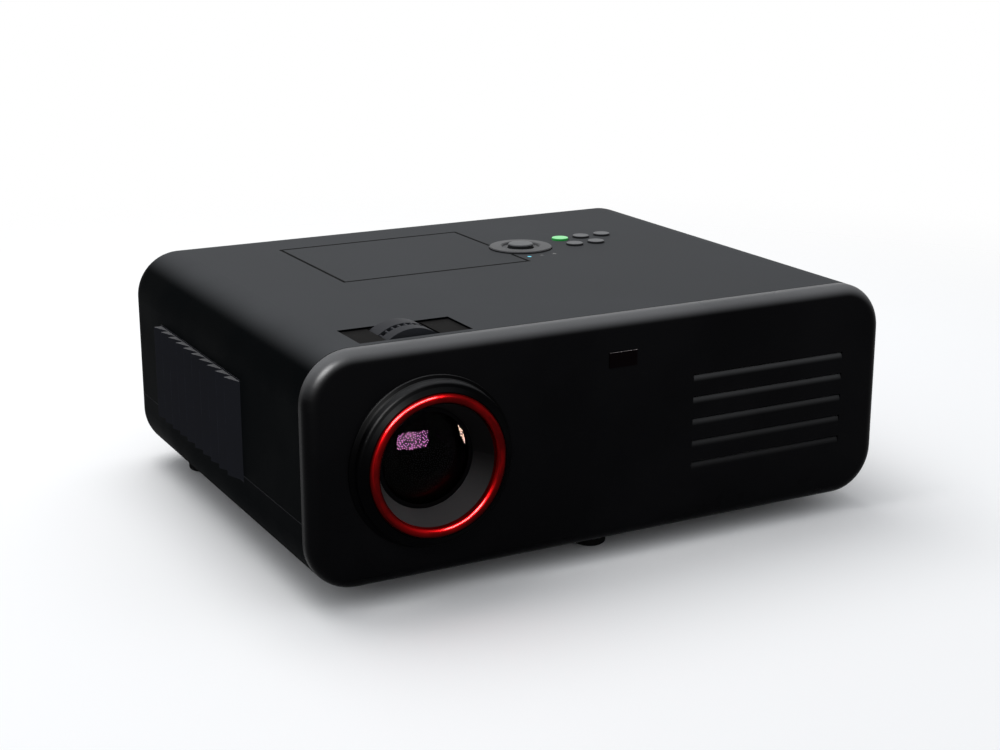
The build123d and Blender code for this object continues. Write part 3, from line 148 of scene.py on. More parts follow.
class Effect(Enum):
    """The surface effects that several finishes share, each a node group."""

    GRAIN = "moulded grain"
    WEAR = "edge wear"
    DUST = "settled dust"
    # Painted top light: the mask of a lighter colour on faces that point up.
    TOP_LIT = "upward face"
    BRUSH = "turning marks"


class Effects:
    """Builds each shared node group once and keeps it."""

    def __init__(self) -> None:
        """Starts with no group built."""
        self.built: dict[Effect, bpy.types.NodeTree] = {}
        self.makers = {
            Effect.GRAIN: self.grain,
            Effect.WEAR: self.wear,
            Effect.DUST: self.dust,
            Effect.TOP_LIT: self.upward,
            Effect.BRUSH: self.brush,
        }

    def get(self, effect: Effect) -> bpy.types.NodeTree:
        """The group of that effect, built when it is first asked for."""
        if effect not in self.built:
            self.built[effect] = self.makers[effect]()
        return self.built[effect]

    @staticmethod
    def start(
        effect: Effect, inputs: Sequence[tuple[str, float]], outputs: Sequence[str]
    ) -> tuple[bpy.types.NodeTree, Sheet, bpy.types.Node, bpy.types.Node]:
        """Opens a group with named sockets.

        Args:
            effect: which effect it is for, and so its name.
            inputs: each input's name and default.
            outputs: each output's name.

        Returns:
            The group, its sheet, and its input and output nodes.
        """
        tree = bpy.data.node_groups.new(effect.value, "ShaderNodeTree")
        for name, value in inputs:
            socket = tree.interface.new_socket(name, in_out="INPUT", socket_type="NodeSocketFloat")
            socket.default_value = value
        for name in outputs:
            tree.interface.new_socket(name, in_out="OUTPUT", socket_type="NodeSocketFloat")
        sheet = Sheet(tree)
        return tree, sheet, sheet.add("NodeGroupInput"), sheet.add("NodeGroupOutput")

    def grain(self) -> bpy.types.NodeTree:
        """Fine spark texture with slow unevenness, for moulded and painted plastic."""
        tree, sheet, given, made = self.start(
            Effect.GRAIN, [("Fineness", 1800.0), ("Patch", 14.0)], ["Height", "Patches"]
        )
        where = sheet.add("ShaderNodeTexCoord").outputs["Object"]
        pits = sheet.add("ShaderNodeTexVoronoi", {"feature": "SMOOTH_F1"}, Vector=where, Smoothness=0.6)
        sheet.put(pits.inputs["Scale"], given.outputs["Fineness"])
        fine = sheet.add("ShaderNodeTexNoise", Vector=where, Detail=3.0, Roughness=0.6)
        sheet.put(fine.inputs["Scale"], sheet.math("MULTIPLY", given.outputs["Fineness"], 0.7))
        slow = sheet.add("ShaderNodeTexNoise", Vector=where, Detail=4.0, Roughness=0.55)
        sheet.put(slow.inputs["Scale"], given.outputs["Patch"])
        height = sheet.math("MULTIPLY_ADD", pits.outputs["Distance"], 0.5, fine.outputs["Fac"])
        sheet.put(made.inputs["Height"], height)
        sheet.put(made.inputs["Patches"], sheet.ramp(slow.outputs["Fac"], 0.3, 0.7))
        return tree

    def wear(self) -> bpy.types.NodeTree:
        """Where an outer edge has been rubbed, from the difference to a rounded normal."""
        tree, sheet, given, made = self.start(
            Effect.WEAR, [("Reach", 0.0006), ("Break Up", 90.0)], ["Mask"]
        )
        soft = sheet.add("ShaderNodeBevel", {"samples": 4})
        sheet.put(soft.inputs["Radius"], given.outputs["Reach"])
        true = sheet.add("ShaderNodeNewGeometry").outputs["Normal"]
        near = sheet.add("ShaderNodeVectorMath", {"operation": "DOT_PRODUCT"})
        sheet.put(near.inputs[0], soft.outputs["Normal"])
        sheet.put(near.inputs[1], true)
        edge = sheet.ramp(sheet.math("SUBTRACT", 1.0, near.outputs["Value"]), 0.01, 0.12)
        where = sheet.add("ShaderNodeTexCoord").outputs["Object"]
        patchy = sheet.add("ShaderNodeTexNoise", Vector=where, Detail=5.0, Roughness=0.7)
        sheet.put(patchy.inputs["Scale"], given.outputs["Break Up"])
        rubbed = sheet.ramp(patchy.outputs["Fac"], 0.4, 0.62)
        sheet.put(made.inputs["Mask"], sheet.math("MULTIPLY", edge, rubbed))
        return tree

    def dust(self) -> bpy.types.NodeTree:
        """Specks and a thin film on what faces up."""
        tree, sheet, given, made = self.start(Effect.DUST, [("Speck Scale", 420.0)], ["Mask"])
        geometry = sheet.add("ShaderNodeNewGeometry")
        up = sheet.add("ShaderNodeSeparateXYZ", Vector=geometry.outputs["Normal"]).outputs["Z"]
        where = sheet.add("ShaderNodeTexCoord").outputs["Object"]
        specks = sheet.add("ShaderNodeTexNoise", Vector=where, Detail=2.0, Roughness=0.5)
        sheet.put(specks.inputs["Scale"], given.outputs["Speck Scale"])
        film = sheet.add("ShaderNodeTexNoise", Vector=where, Scale=9.0, Detail=5.0, Roughness=0.6)
        lit = sheet.ramp(up, 0.35, 0.95)
        dots = sheet.ramp(specks.outputs["Fac"], 0.66, 0.78)
        veil = sheet.ramp(film.outputs["Fac"], 0.35, 0.8, 0.0, 0.35)
        sheet.put(made.inputs["Mask"], sheet.math("MULTIPLY", lit, sheet.math("MAXIMUM", dots, veil)))
        return tree

    def upward(self) -> bpy.types.NodeTree:
        """How far a surface faces up and how high it lies: the mask of painted top light, which fades over
        round corners.
        """
        sockets = [("Fade Start", 0.2), ("Fade End", 0.97), ("Low", -1.0), ("High", -0.5)]
        tree, sheet, given, made = self.start(Effect.TOP_LIT, sockets, ["Mask"])
        place = sheet.add("ShaderNodeTexCoord").outputs
        parts = []
        for source, low, high in (("Normal", "Fade Start", "Fade End"), ("Object", "Low", "High")):
            up = sheet.add("ShaderNodeSeparateXYZ", Vector=place[source]).outputs["Z"]
            node = sheet.add("ShaderNodeMapRange", {"interpolation_type": "SMOOTHSTEP"}, Value=up)
            sheet.put(node.inputs["From Min"], given.outputs[low])
            sheet.put(node.inputs["From Max"], given.outputs[high])
            parts.append(node.outputs["Result"])
        sheet.put(made.inputs["Mask"], sheet.math("MULTIPLY", *parts))
        return tree

    def brush(self) -> bpy.types.NodeTree:
        """Fine lines round or along a piece, left by a lathe or an extruding die."""
        tree, sheet, given, made = self.start(
            Effect.BRUSH, [("Lines", 2600.0), ("Squeeze", 0.04)], ["Height", "Streaks"]
        )
        where = sheet.add("ShaderNodeTexCoord").outputs["Object"]
        apart = sheet.add("ShaderNodeSeparateXYZ", Vector=where)
        along = sheet.math("MULTIPLY", apart.outputs["X"], given.outputs["Squeeze"])
        up = sheet.math("MULTIPLY", apart.outputs["Z"], given.outputs["Squeeze"])
        drawn = sheet.add("ShaderNodeCombineXYZ", X=along, Y=apart.outputs["Y"], Z=up)
        lines = sheet.add("ShaderNodeTexNoise", Vector=drawn.outputs[0], Detail=3.0, Roughness=0.65)
        sheet.put(lines.inputs["Scale"], given.outputs["Lines"])
        sheet.put(made.inputs["Height"], lines.outputs["Fac"])
        sheet.put(made.inputs["Streaks"], sheet.ramp(lines.outputs["Fac"], 0.3, 0.7))
        return tree


EFFECTS = Effects()


def shaded(colour: Colour, factor: float) -> Colour:
    """A colour made lighter or darker by one factor."""
    return tuple(min(1.0, channel * factor) for channel in colour)


class Finish:
    """A surface that becomes a material with one principled shader."""

    name: str

    def build(self) -> bpy.types.Material:
        """Returns: the material."""
        material = bpy.data.materials.new(self.name)
        material.use_nodes = True
        sheet = Sheet(material.node_tree)
        shader = sheet.add("ShaderNodeBsdfPrincipled", **self.skin(sheet))
        sheet.add("ShaderNodeOutputMaterial", Surface=shader.outputs[0])
        return material

    def skin(self, sheet: Sheet) -> dict[str, object]:
        """Writes the nodes before the shader.

        Args:
            sheet: the material's nodes.

        Returns:
            The shader's values and links by input name, with spaces as underscores.
        """
        raise NotImplementedError


@dataclass(frozen=True)
class Plastic(Finish):
    """A moulded or painted plastic with its grain, wear and dust, and painted top light where it has a top
    colour.

    Attributes:
        name: the material's name.
        colour: the colour of most of it.
        top: the painted top light, a lighter colour where it faces up, or None for one colour.
        roughness: the shader's roughness in the middle of its variation.
        specular: the shader's specular level.
        fineness: grains per metre.
        relief: the height of the grain, in metres.
        variation: how far the slow patches change the colour.
        wear: how much lighter a rubbed edge is, as a factor.
        dust: how much of the dust shows.
        coat: weight of a clear coat.
        coat_roughness: the coat's own roughness.
        fade: where the painted top light starts and is full, as the upward part of the normal.
        level: between which heights the painted top light comes in, in metres.
    """

    name: str
    colour: Colour
    top: Colour | None = None
    roughness: float = 0.5
    specular: float = 0.3
    fineness: float = 1800.0
    relief: float = 0.00002
    variation: float = 0.12
    wear: float = 2.2
    dust: float = 0.05
    coat: float = 0.0
    coat_roughness: float = 0.12
    fade: tuple[float, float] = (0.2, 0.97)
    level: tuple[float, float] = (-1.0, -0.5)

    def skin(self, sheet: Sheet) -> dict[str, object]:
        """Returns: the shader's values and links. Args: sheet: the material's nodes."""
        grain = sheet.group(EFFECTS.get(Effect.GRAIN), Fineness=self.fineness)
        patches = grain.outputs["Patches"]
        low, high = shaded(self.colour, 1 - self.variation), shaded(self.colour, 1 + self.variation)
        body = sheet.blend(patches, low, high)
        # Painted top light: the top colour is blended in where the surface faces up and lies high, standing
        # in for light from above.
        if self.top:
            start, end = self.fade
            below, full = self.level
            facing = sheet.group(
                EFFECTS.get(Effect.TOP_LIT), Fade_Start=start, Fade_End=end, Low=below, High=full
            )
            low, high = shaded(self.top, 1 - self.variation / 2), shaded(self.top, 1 + self.variation / 2)
            body = sheet.blend(facing.outputs["Mask"], body, sheet.blend(patches, low, high))
        worn = sheet.group(EFFECTS.get(Effect.WEAR)).outputs["Mask"]
        lighter = sheet.blend(1.0, body, (self.wear,) * 3, "MULTIPLY")
        body = sheet.blend(worn, body, lighter)
        dusty = sheet.group(EFFECTS.get(Effect.DUST)).outputs["Mask"]
        body = sheet.blend(sheet.math("MULTIPLY", dusty, self.dust), body, DUST_COLOUR)
        rough = sheet.ramp(patches, 0.0, 1.0, self.roughness - ROUGH_BELOW, self.roughness + ROUGH_ABOVE)
        height = grain.outputs["Height"]
        bump = sheet.add("ShaderNodeBump", Distance=self.relief, Strength=1.0, Height=height)
        return {
            "Base_Color": body,
            "Roughness": rough,
            "Specular_IOR_Level": self.specular,
            "Coat_Weight": self.coat,
            "Coat_Roughness": self.coat_roughness,
            "Normal": bump.outputs[0],
        }


@dataclass(frozen=True)
class Metal(Finish):
    """A plated, painted, turned or extruded metal.

    Attributes:
        name: the material's name.
        colour: its colour.
        roughness: the shader's roughness in the middle of its variation.
        lines: turning or drawing lines per metre.
        relief: the height of the lines, in metres.
        coat: weight of a clear lacquer.
        coat_roughness: the lacquer's own roughness.
        edge_tint: the colour that it reflects at a low angle.
    """

    name: str
    colour: Colour
    roughness: float = 0.3
    lines: float = 2600.0
    relief: float = 0.000004
    coat: float = 0.0
    coat_roughness: float = 0.05
    edge_tint: Colour = WHITE

    def skin(self, sheet: Sheet) -> dict[str, object]:
        """Returns: the shader's values and links. Args: sheet: the material's nodes."""
        brush = sheet.group(EFFECTS.get(Effect.BRUSH), Lines=self.lines)
        streaks = brush.outputs["Streaks"]
        body = sheet.blend(streaks, *(shaded(self.colour, factor) for factor in STREAK_SHADES))
        rough = sheet.ramp(streaks, 0.0, 1.0, *(self.roughness * factor for factor in STREAK_ROUGHNESS))
        height = brush.outputs["Height"]
        bump = sheet.add("ShaderNodeBump", Distance=self.relief, Strength=1.0, Height=height)
        return {
            "Base_Color": body,
            "Metallic": 1.0,
            "Roughness": rough,
            "Coat_Weight": self.coat,
            "Coat_Roughness": self.coat_roughness,
            "Specular_Tint": (*self.edge_tint, OPAQUE),
            "Normal": bump.outputs[0],
        }


@dataclass(frozen=True)
class Glass(Finish):
    """Clear or coated optical glass.

    Attributes:
        name: the material's name.
        colour: the tint of what passes through.
        roughness: surface roughness.
        ior: the index of refraction.
        smear: how much rougher it is where it has been touched.
    """

    name: str
    colour: Colour
    roughness: float = 0.0
    ior: float = 1.5
    smear: float = 0.015

    def skin(self, sheet: Sheet) -> dict[str, object]:
        """Returns: the shader's values and links. Args: sheet: the material's nodes."""
        where = sheet.add("ShaderNodeTexCoord").outputs["Object"]
        smear = sheet.add("ShaderNodeTexNoise", Vector=where, Scale=60.0, Detail=5.0)
        rough = sheet.ramp(smear.outputs["Fac"], 0.35, 0.75, self.roughness, self.roughness + self.smear)
        tint = sheet.blend(smear.outputs["Fac"], shaded(self.colour, 0.95), shaded(self.colour, 1.05))
        return {"Base_Color": tint, "Roughness": rough, "IOR": self.ior, "Transmission_Weight": 1.0}


@dataclass(frozen=True)
class Lamp(Finish):
    """A plastic that glows, such as a light pipe over a diode.

    Attributes:
        name: the material's name.
        colour: the plastic's colour.
        glow: the colour of the light.
        strength: how bright the light is.
    """

    name: str
    colour: Colour
    glow: Colour
    strength: float

    def skin(self, sheet: Sheet) -> dict[str, object]:
        """Returns: the shader's values and links. Args: sheet: the material's nodes."""
        grain = sheet.group(EFFECTS.get(Effect.GRAIN), Fineness=900.0, Patch=400.0)
        patches = grain.outputs["Patches"]
        body = sheet.blend(patches, shaded(self.colour, 0.9), shaded(self.colour, 1.1))
        glow = sheet.blend(patches, shaded(self.glow, 0.85), self.glow)
        return {
            "Base_Color": body,
            "Roughness": 0.25,
            "Emission_Color": glow,
            "Emission_Strength": self.strength,
        }


# Its top colour is painted top light: the upward faces lighter, the sides near black.
CASE = Plastic(
    "case paint with painted top light", (0.001, 0.0014, 0.0017), top=(0.056, 0.058, 0.061), roughness=0.5, specular=0.002,
    relief=0.000012, wear=1.3, dust=0.008, fade=(0.62, 1.0),
)
# Its top colour is painted light: a painted highlight along the rounded top edge and on upward faces, weaker
# lower down.
BEZEL = Plastic(
    "front paint with painted highlight", (0.0008, 0.0008, 0.0012), top=(0.122, 0.123, 0.126), roughness=0.3, specular=0.02,
    relief=0.000008, wear=1.3, dust=0.008, fade=(0.1, 0.85), level=(0.0, 0.13),
)
# Its top colour is painted top light where the collar faces up.
COLLAR = Plastic(
    "collar paint with painted top light", (0.0008, 0.0008, 0.001), top=(0.045, 0.045, 0.046), roughness=0.3, specular=0.005,
    relief=0.000008, wear=1.3, dust=0.008, fade=(0.45, 1.0),
)
# Its top colour is painted top light where the ring faces up.
NAV_RING = Plastic(
    "navigation ring", (0.02, 0.02, 0.021), top=(0.07, 0.071, 0.074), roughness=0.42, specular=0.05,
    fade=(0.45, 0.9),
)
FINISHES: dict[str, Finish] = {
    "case_grey": CASE,
    "case_black": CASE,
    # Its top colour is painted top light on the upward ends of the louvres.
    "vent_plastic": Plastic(
        "vent moulding", (0.0075, 0.008, 0.0105), top=(0.11, 0.11, 0.114), roughness=0.5, specular=0.01,
        fade=(0.72, 1.0),
    ),
    "dial_black": Plastic("dial plate", (0.0085, 0.0082, 0.0082), roughness=0.6, specular=0.01),
    "wheel_grey": Plastic("thumb wheel", (0.026, 0.027, 0.031), roughness=0.42, specular=0.03),
    "ring_red": Metal(
        "red anodised ring", (0.036, 0.0002, 0.0003), roughness=0.3, lines=1500.0, coat=0.03,
        coat_roughness=0.14, edge_tint=(0.05, 0.001, 0.001),
    ),
    # Its top colour is painted top light where the inner cone faces up.
    "hood_grey": Plastic(
        "hood moulding", (0.004, 0.004, 0.0042), top=(0.055, 0.055, 0.055), roughness=0.5, specular=0.02,
        fade=(-0.1, 0.8),
    ),
    "lens_black": Plastic("lens barrel black", (0.0015, 0.0015, 0.0018), roughness=0.6, specular=0.01),
    "lens_glass": Glass("coated lens", (0.07, 0.055, 0.085), ior=1.07, smear=0.002),
    "screen_glass": Glass("optical plastic", (0.8, 0.83, 0.85), roughness=0.05, ior=1.49),
    # The keys' top colours are painted top light where the caps face up.
    "key_grey": Plastic(
        "grey keys", (0.02, 0.0205, 0.022), top=(0.1, 0.103, 0.108), roughness=0.4, specular=0.06,
        fade=(0.45, 0.9),
    ),
    "key_green": Plastic(
        "green power key", (0.02, 0.36, 0.06), top=(0.24, 0.72, 0.3), roughness=0.35, specular=0.2,
        fade=(0.45, 0.95), wear=1.1,
    ),
    "lamp_cyan": Lamp("status lamps", (0.05, 0.3, 0.4), (0.05, 0.6, 0.8), 0.8),
    # Its top colour is a painted highlight on the frame's top; its strong edge lightening is partly wear,
    # partly painted highlight.
    "window_red": Plastic(
        "infrared window", (0.001, 0.0002, 0.0004), top=(0.2, 0.18, 0.18), roughness=0.15, specular=0.012,
        wear=3.0,
    ),
    "bright_steel": Metal("bright plated steel", (0.6, 0.6, 0.62), roughness=0.28),
    "brass": Metal("turned brass", (0.72, 0.52, 0.22), roughness=0.3),
    "rubber": Plastic("black rubber", (0.006, 0.006, 0.006), roughness=0.75, specular=0.01),
    "board_green": Plastic("solder mask", (0.012, 0.11, 0.045), roughness=0.3, specular=0.4, coat=0.4),
    "heatsink_metal": Metal("extruded aluminium", (0.75, 0.76, 0.78), roughness=0.35, lines=900.0),
    "engine_plastic": Plastic("engine moulding", (0.014, 0.014, 0.016), roughness=0.55, specular=0.2),
    "fan_plastic": Plastic("fan moulding", (0.016, 0.016, 0.018), roughness=0.4, specular=0.25),
    "part_black": Plastic("black fittings", (0.012, 0.012, 0.014), roughness=0.45, specular=0.25),
    "lamp_yellow": Lamp("phosphor lamp", (0.85, 0.7, 0.25), (1.0, 0.8, 0.3), 0.1),
}
REAR = Plastic("rear moulding", (0.0055, 0.0057, 0.0062), roughness=0.55, specular=0.03)
UNLIT_PIPE = Plastic("unlit light pipe", (0.012, 0.013, 0.014), roughness=0.2, specular=0.3)
OWN_FINISHES = {"front_bezel": BEZEL, "lens_collar": COLLAR, "nav_ring": NAV_RING, "rear_panel": REAR}


class Dresser:
    """Keeps the built materials and dresses CAD nodes and new pieces by slot name."""

    def __init__(self, nodes: dict[str, bpy.types.Object], record: dict) -> None:
        """Args: nodes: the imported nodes. record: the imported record."""
        self.nodes = nodes
        self.slots = {part["node"]: part["material_slot"] for part in record["subparts"]}
        self.built: dict[str, bpy.types.Material] = {}

    def material(self, slot: str) -> bpy.types.Material:
        """The material of a record slot, built when it is first asked for."""
        if slot not in self.built:
            self.built[slot] = FINISHES[slot].build()
        return self.built[slot]

    def dress_nodes(self) -> None:
        """Gives each carried-over CAD node the finish of its slot."""
        for name, node in self.nodes.items():
            own = OWN_FINISHES.get(name)
            node.data.materials.clear()
            node.data.materials.append(own.build() if own else self.material(self.slots[name]))
            log.info("dressed %s as %s", name, self.slots[name])


@dataclass(frozen=True)
class Recess:
    """A cross recess for a driver.

    Attributes:
        reach: from the middle to a slot's end.
        slot: a slot's width.
        depth: how deep it is.
        taper: its foot's size as a share of its mouth's.
    """

    reach: float
    slot: float
    depth: float
    taper: float = 0.8


class Form:
    """A mesh that is built up from rings and strips, in metres."""

    def __init__(self) -> None:
        """Starts empty."""
        self.mesh = bmesh.new()

    def ring(self, radius: float, height: float, count: int) -> list[bmesh.types.BMVert]:
        """A ring of corners at one height, or a single corner where the radius is nothing."""
        if radius <= 0:
            return [self.mesh.verts.new((0.0, 0.0, height))]
        turns = (2 * math.pi * index / count for index in range(count))
        return [self.mesh.verts.new((radius * math.cos(t), radius * math.sin(t), height)) for t in turns]

    def strip(self, low: list[bmesh.types.BMVert], high: list[bmesh.types.BMVert]) -> None:
        """Faces between two rings of the same count, or between a ring and a single corner."""
        count = max(len(low), len(high))
        for index in range(count):
            after = (index + 1) % count
            corners = [low[index % len(low)], low[after % len(low)]]
            corners += [high[after % len(high)], high[index % len(high)]]
            self.mesh.faces.new(list(dict.fromkeys(corners)))

    def turned(self, outline: Sequence[tuple[float, float]], count: int = 48) -> list[bmesh.types.BMVert]:
        """Turns an outline of (radius, height) points about Z. Returns: its last ring."""
        last = self.ring(*outline[0], count)
        for point in outline[1:]:
            ring = self.ring(*point, count)
            self.strip(last, ring)
            last = ring
        return last

    def loop(self, outline: Sequence[tuple[float, float]], height: float) -> list[bmesh.types.BMVert]:
        """Corners at one height from (x, y) points."""
        return [self.mesh.verts.new((x, y, height)) for x, y in outline]

    def cross_cut(self, rim: list[bmesh.types.BMVert], top: float, recess: Recess) -> None:
        """Closes a ring with a flat face that has a cross recess for a driver.

        Args:
            rim: the ring that bounds the face.
            top: the height of the face.
            recess: the recess.
        """
        near, far = recess.slot / 2, recess.reach
        arm = [(far, -near), (far, near), (near, near)]
        cross = []
        for turn in range(4):
            c, d = round(math.cos(turn * math.pi / 2)), round(math.sin(turn * math.pi / 2))
            cross += [(x * c - y * d, x * d + y * c) for x, y in arm]
        edge = self.loop(cross, top)
        foot = self.loop([(x * recess.taper, y * recess.taper) for x, y in cross], top - recess.depth)
        self.strip(foot, edge)
        self.mesh.faces.new(foot)
        sides = [(ring[i - 1], ring[i]) for ring in (rim, edge) for i in range(len(ring))]
        around = [self.mesh.edges.get(side) or self.mesh.edges.new(side) for side in sides]
        bmesh.ops.triangle_fill(self.mesh, edges=around, use_beauty=True)

    def piece(
        self, name: str, place: Sequence[float], axis: Axis, material: bpy.types.Material, slot: str,
        body: str = "case", stands_for: Sequence[str] = (),
    ) -> bpy.types.Object:
        """Makes the object, sets it in place and ties it to its body.

        Args:
            name: the piece's name.
            place: where its own origin lies in the row frame.
            axis: the way that its own Z points.
            material: its finish.
            slot: the record's slot of that finish; not used.
            body: the CAD body that it rides on.
            stands_for: the CAD nodes that it replaces.

        Returns:
            The object.
        """
        bmesh.ops.recalc_face_normals(self.mesh, faces=self.mesh.faces)
        for face in self.mesh.faces:
            face.smooth = True
        for edge in self.mesh.edges:
            edge.smooth = edge.is_manifold and edge.calc_face_angle(0.0) < SHARP_ANGLE
        data = bpy.data.meshes.new(name)
        self.mesh.to_mesh(data)
        self.mesh.free()
        data.materials.append(material)
        made = bpy.data.objects.new(name, data)
        made.matrix_world = Matrix.Translation(place) @ axis.value.to_4x4()
        bpy.context.collection.objects.link(made)
        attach(made, body)
        if stands_for:
            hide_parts(*stands_for)
        return made


@dataclass
class CaseScrews:
    """The cross-headed screws that hold the two halves together from below.

    Attributes:
        head: the head's radius.
        height: the head's height.
        shank: the shank's radius at its crests.
        pitch: the thread's pitch.
        thread: how much of the shank's end is threaded.
        root: the shank's radius between its crests.
        point: the length of its point.
        neck: the plain length under the head.
        bevel: the width of the head's bevelled rim.
        crest: half the width of a crest's foot, as a share of the pitch.
    """

    head: float = 2.9 * MM
    height: float = 2.0 * MM
    shank: float = 1.5 * MM
    pitch: float = 1.3 * MM
    thread: float = 14.0 * MM
    root: float = 1.08 * MM
    point: float = 1.2 * MM
    neck: float = 1.0 * MM
    bevel: float = 0.5 * MM
    crest: float = 0.15

    def build(self, dresser: Dresser) -> None:
        """Builds one screw at each corner of the node that they replace."""
        low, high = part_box("case_screws")
        steel = dresser.material("bright_steel")
        length = high[2] - low[2]
        for number, (x, y) in enumerate((x, y) for x in (low[0], high[0]) for y in (low[1], high[1])):
            place = (x + math.copysign(self.head, -x), y + (self.head if y == low[1] else -self.head), low[2])
            form = Form()
            rim = form.turned(self.outline(length))
            form.cross_cut(rim, 0.0, Recess(0.62 * self.head, 0.24 * self.head, 1.1 * MM))
            name = f"case_screw_{number + 1}"
            form.piece(name, place, Axis.DOWN, steel, "bright_steel", stands_for=("case_screws",))

    def outline(self, length: float) -> list[tuple[float, float]]:
        """The screw's outline, from the tip to the rim of the driver's face at height nothing."""
        start = -length + self.point
        points = [(0.0, -length), (self.root, start)]
        for turn in range(int(self.thread / self.pitch)):
            middle = start + (turn + 0.5) * self.pitch
            foot = self.crest * self.pitch
            points += [(self.root, middle - foot), (self.shank, middle), (self.root, middle + foot)]
        under = -self.height
        points += [(self.root, under - self.neck), (self.root, under), (self.head, under)]
        return points + [(self.head, -self.bevel), (self.head - self.bevel, 0.0)]


@dataclass
class StatusLights:
    """Three light pipes beside the keys, of which the first is lit.

    Attributes:
        radius: a pipe's radius.
        shares: where the pipes stand along the node that they replace, from 0 to 1.
        dome: how far a pipe's end is domed.
    """

    radius: float = 1.1 * MM
    shares: tuple[float, ...] = (0.0, 0.49, 1.0)
    dome: float = 0.12 * MM

    def build(self, dresser: Dresser) -> None:
        """Builds the three pipes."""
        low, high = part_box("status_lights")
        unlit = UNLIT_PIPE.build()
        first, last = low[0] + self.radius, high[0] - self.radius
        top = high[2] - low[2]
        shoulder = (0.7 * self.radius, top - 0.3 * self.dome)
        for number, share in enumerate(self.shares):
            form = Form()
            form.turned(
                [(0.0, 0.0), (self.radius, 0.0), (self.radius, top - self.dome), shoulder, (0.0, top)]
            )
            place = (first + share * (last - first), (low[1] + high[1]) / 2, low[2])
            finish = unlit if number else dresser.material("lamp_cyan")
            name = f"light_pipe_{number + 1}"
            form.piece(name, place, Axis.UP, finish, "lamp_cyan", stands_for=("status_lights",))


@dataclass
class SeamShadeStrip:
    """A dark strip round the service cover that paints the shadow of the thin gap beside it, which shows as a
    thin line.

    Attributes:
        width: how far it reaches onto the cover from its edge.
        gap: how far it reaches over the gap beside the cover.
        proud: how far it stands above the face.
        ring_gap: the room between it and the navigation ring.
        sunk: how far its underside lies below the face.
    """

    width: float = 1.2 * MM
    gap: float = 0.3 * MM
    proud: float = 0.1 * MM
    ring_gap: float = 0.8 * MM
    sunk: float = 0.02 * MM

    def build(self, dresser: Dresser) -> None:
        """Builds one strip that runs round the cover from one side of the ring to the other."""
        low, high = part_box("service_cover")
        ring_low, ring_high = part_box("nav_ring")
        radius = (ring_high[0] - ring_low[0]) / 2 + self.ring_gap
        middle = [(a + b) / 2 for a, b in zip(ring_low, ring_high)]
        reach = math.sqrt(radius ** 2 - (middle[0] - high[0]) ** 2)
        right = high[0]
        path = [(right, middle[1] - reach), (right, low[1]), (low[0], low[1]), (low[0], high[1])]
        path += [(right, high[1]), (right, middle[1] + reach)]
        centre = ((low[0] + right) / 2, (low[1] + high[1]) / 2)
        form = Form()
        rows = (low[1], high[1])
        sections = [self.section(form, point, centre, point[1] in rows, high[2]) for point in path]
        for start, end in zip(sections, sections[1:]):
            form.strip(start, end)
        for end in (sections[0], sections[-1]):
            form.mesh.faces.new(end)
        # The strip is painted shade: black rubber laid over the gap's shadow.
        form.piece(
            "cover_seam_painted_shade", (0.0, 0.0, 0.0), Axis.UP, dresser.material("rubber"), "rubber", "service_cover"
        )

    def section(
        self, form: Form, point: tuple[float, float], centre: tuple[float, float], corner: bool, level: float
    ) -> list[bmesh.types.BMVert]:
        """The strip's four corners where its path turns or ends.

        Args:
            form: the mesh that they belong to.
            point: a place on the cover's edge.
            centre: the middle of the cover.
            corner: whether the path turns there.
            level: the height of the cover's face.

        Returns:
            The corners, from the outer low one to the inner low one.
        """
        out = [math.copysign(1.0, a - b) for a, b in zip(point, centre)]
        low, high = level - self.sunk, level + self.proud
        edges = ((self.gap, low), (self.gap, high), (-self.width, high), (-self.width, low))
        return [
            form.mesh.verts.new((point[0] + out[0] * offset, point[1] + corner * out[1] * offset, height))
            for offset, height in edges
        ]


@dataclass
class FrontGlass:
    """The front lens, turned finely so that its reflections have clean edges.

    Attributes:
        sag: how far the crown stands before its own rim.
        steps: rings of corners on the crown.
        sides: corners in a ring.
    """

    sag: float = 4.0 * MM
    steps: int = 32
    sides: int = 128

    def build(self, dresser: Dresser) -> bpy.types.Object:
        """Builds the glass in the place of the CAD node. Returns: its object."""
        low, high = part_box("front_lens")
        radius, thickness = (high[0] - low[0]) / 2, high[1] - low[1]
        ball = (radius ** 2 + self.sag ** 2) / (2 * self.sag)
        across = [radius * step / self.steps for step in range(self.steps + 1)]
        crown = [(r, ball - math.sqrt(ball ** 2 - r ** 2)) for r in across]
        form = Form()
        form.turned(crown + [(radius, thickness), (0.0, thickness)], self.sides)
        place = ((low[0] + high[0]) / 2, low[1], (low[2] + high[2]) / 2)
        return form.piece(
            "front_glass", place, Axis.BACK, dresser.material("lens_glass"), "lens_glass", "lens",
            stands_for=("front_lens",),
        )


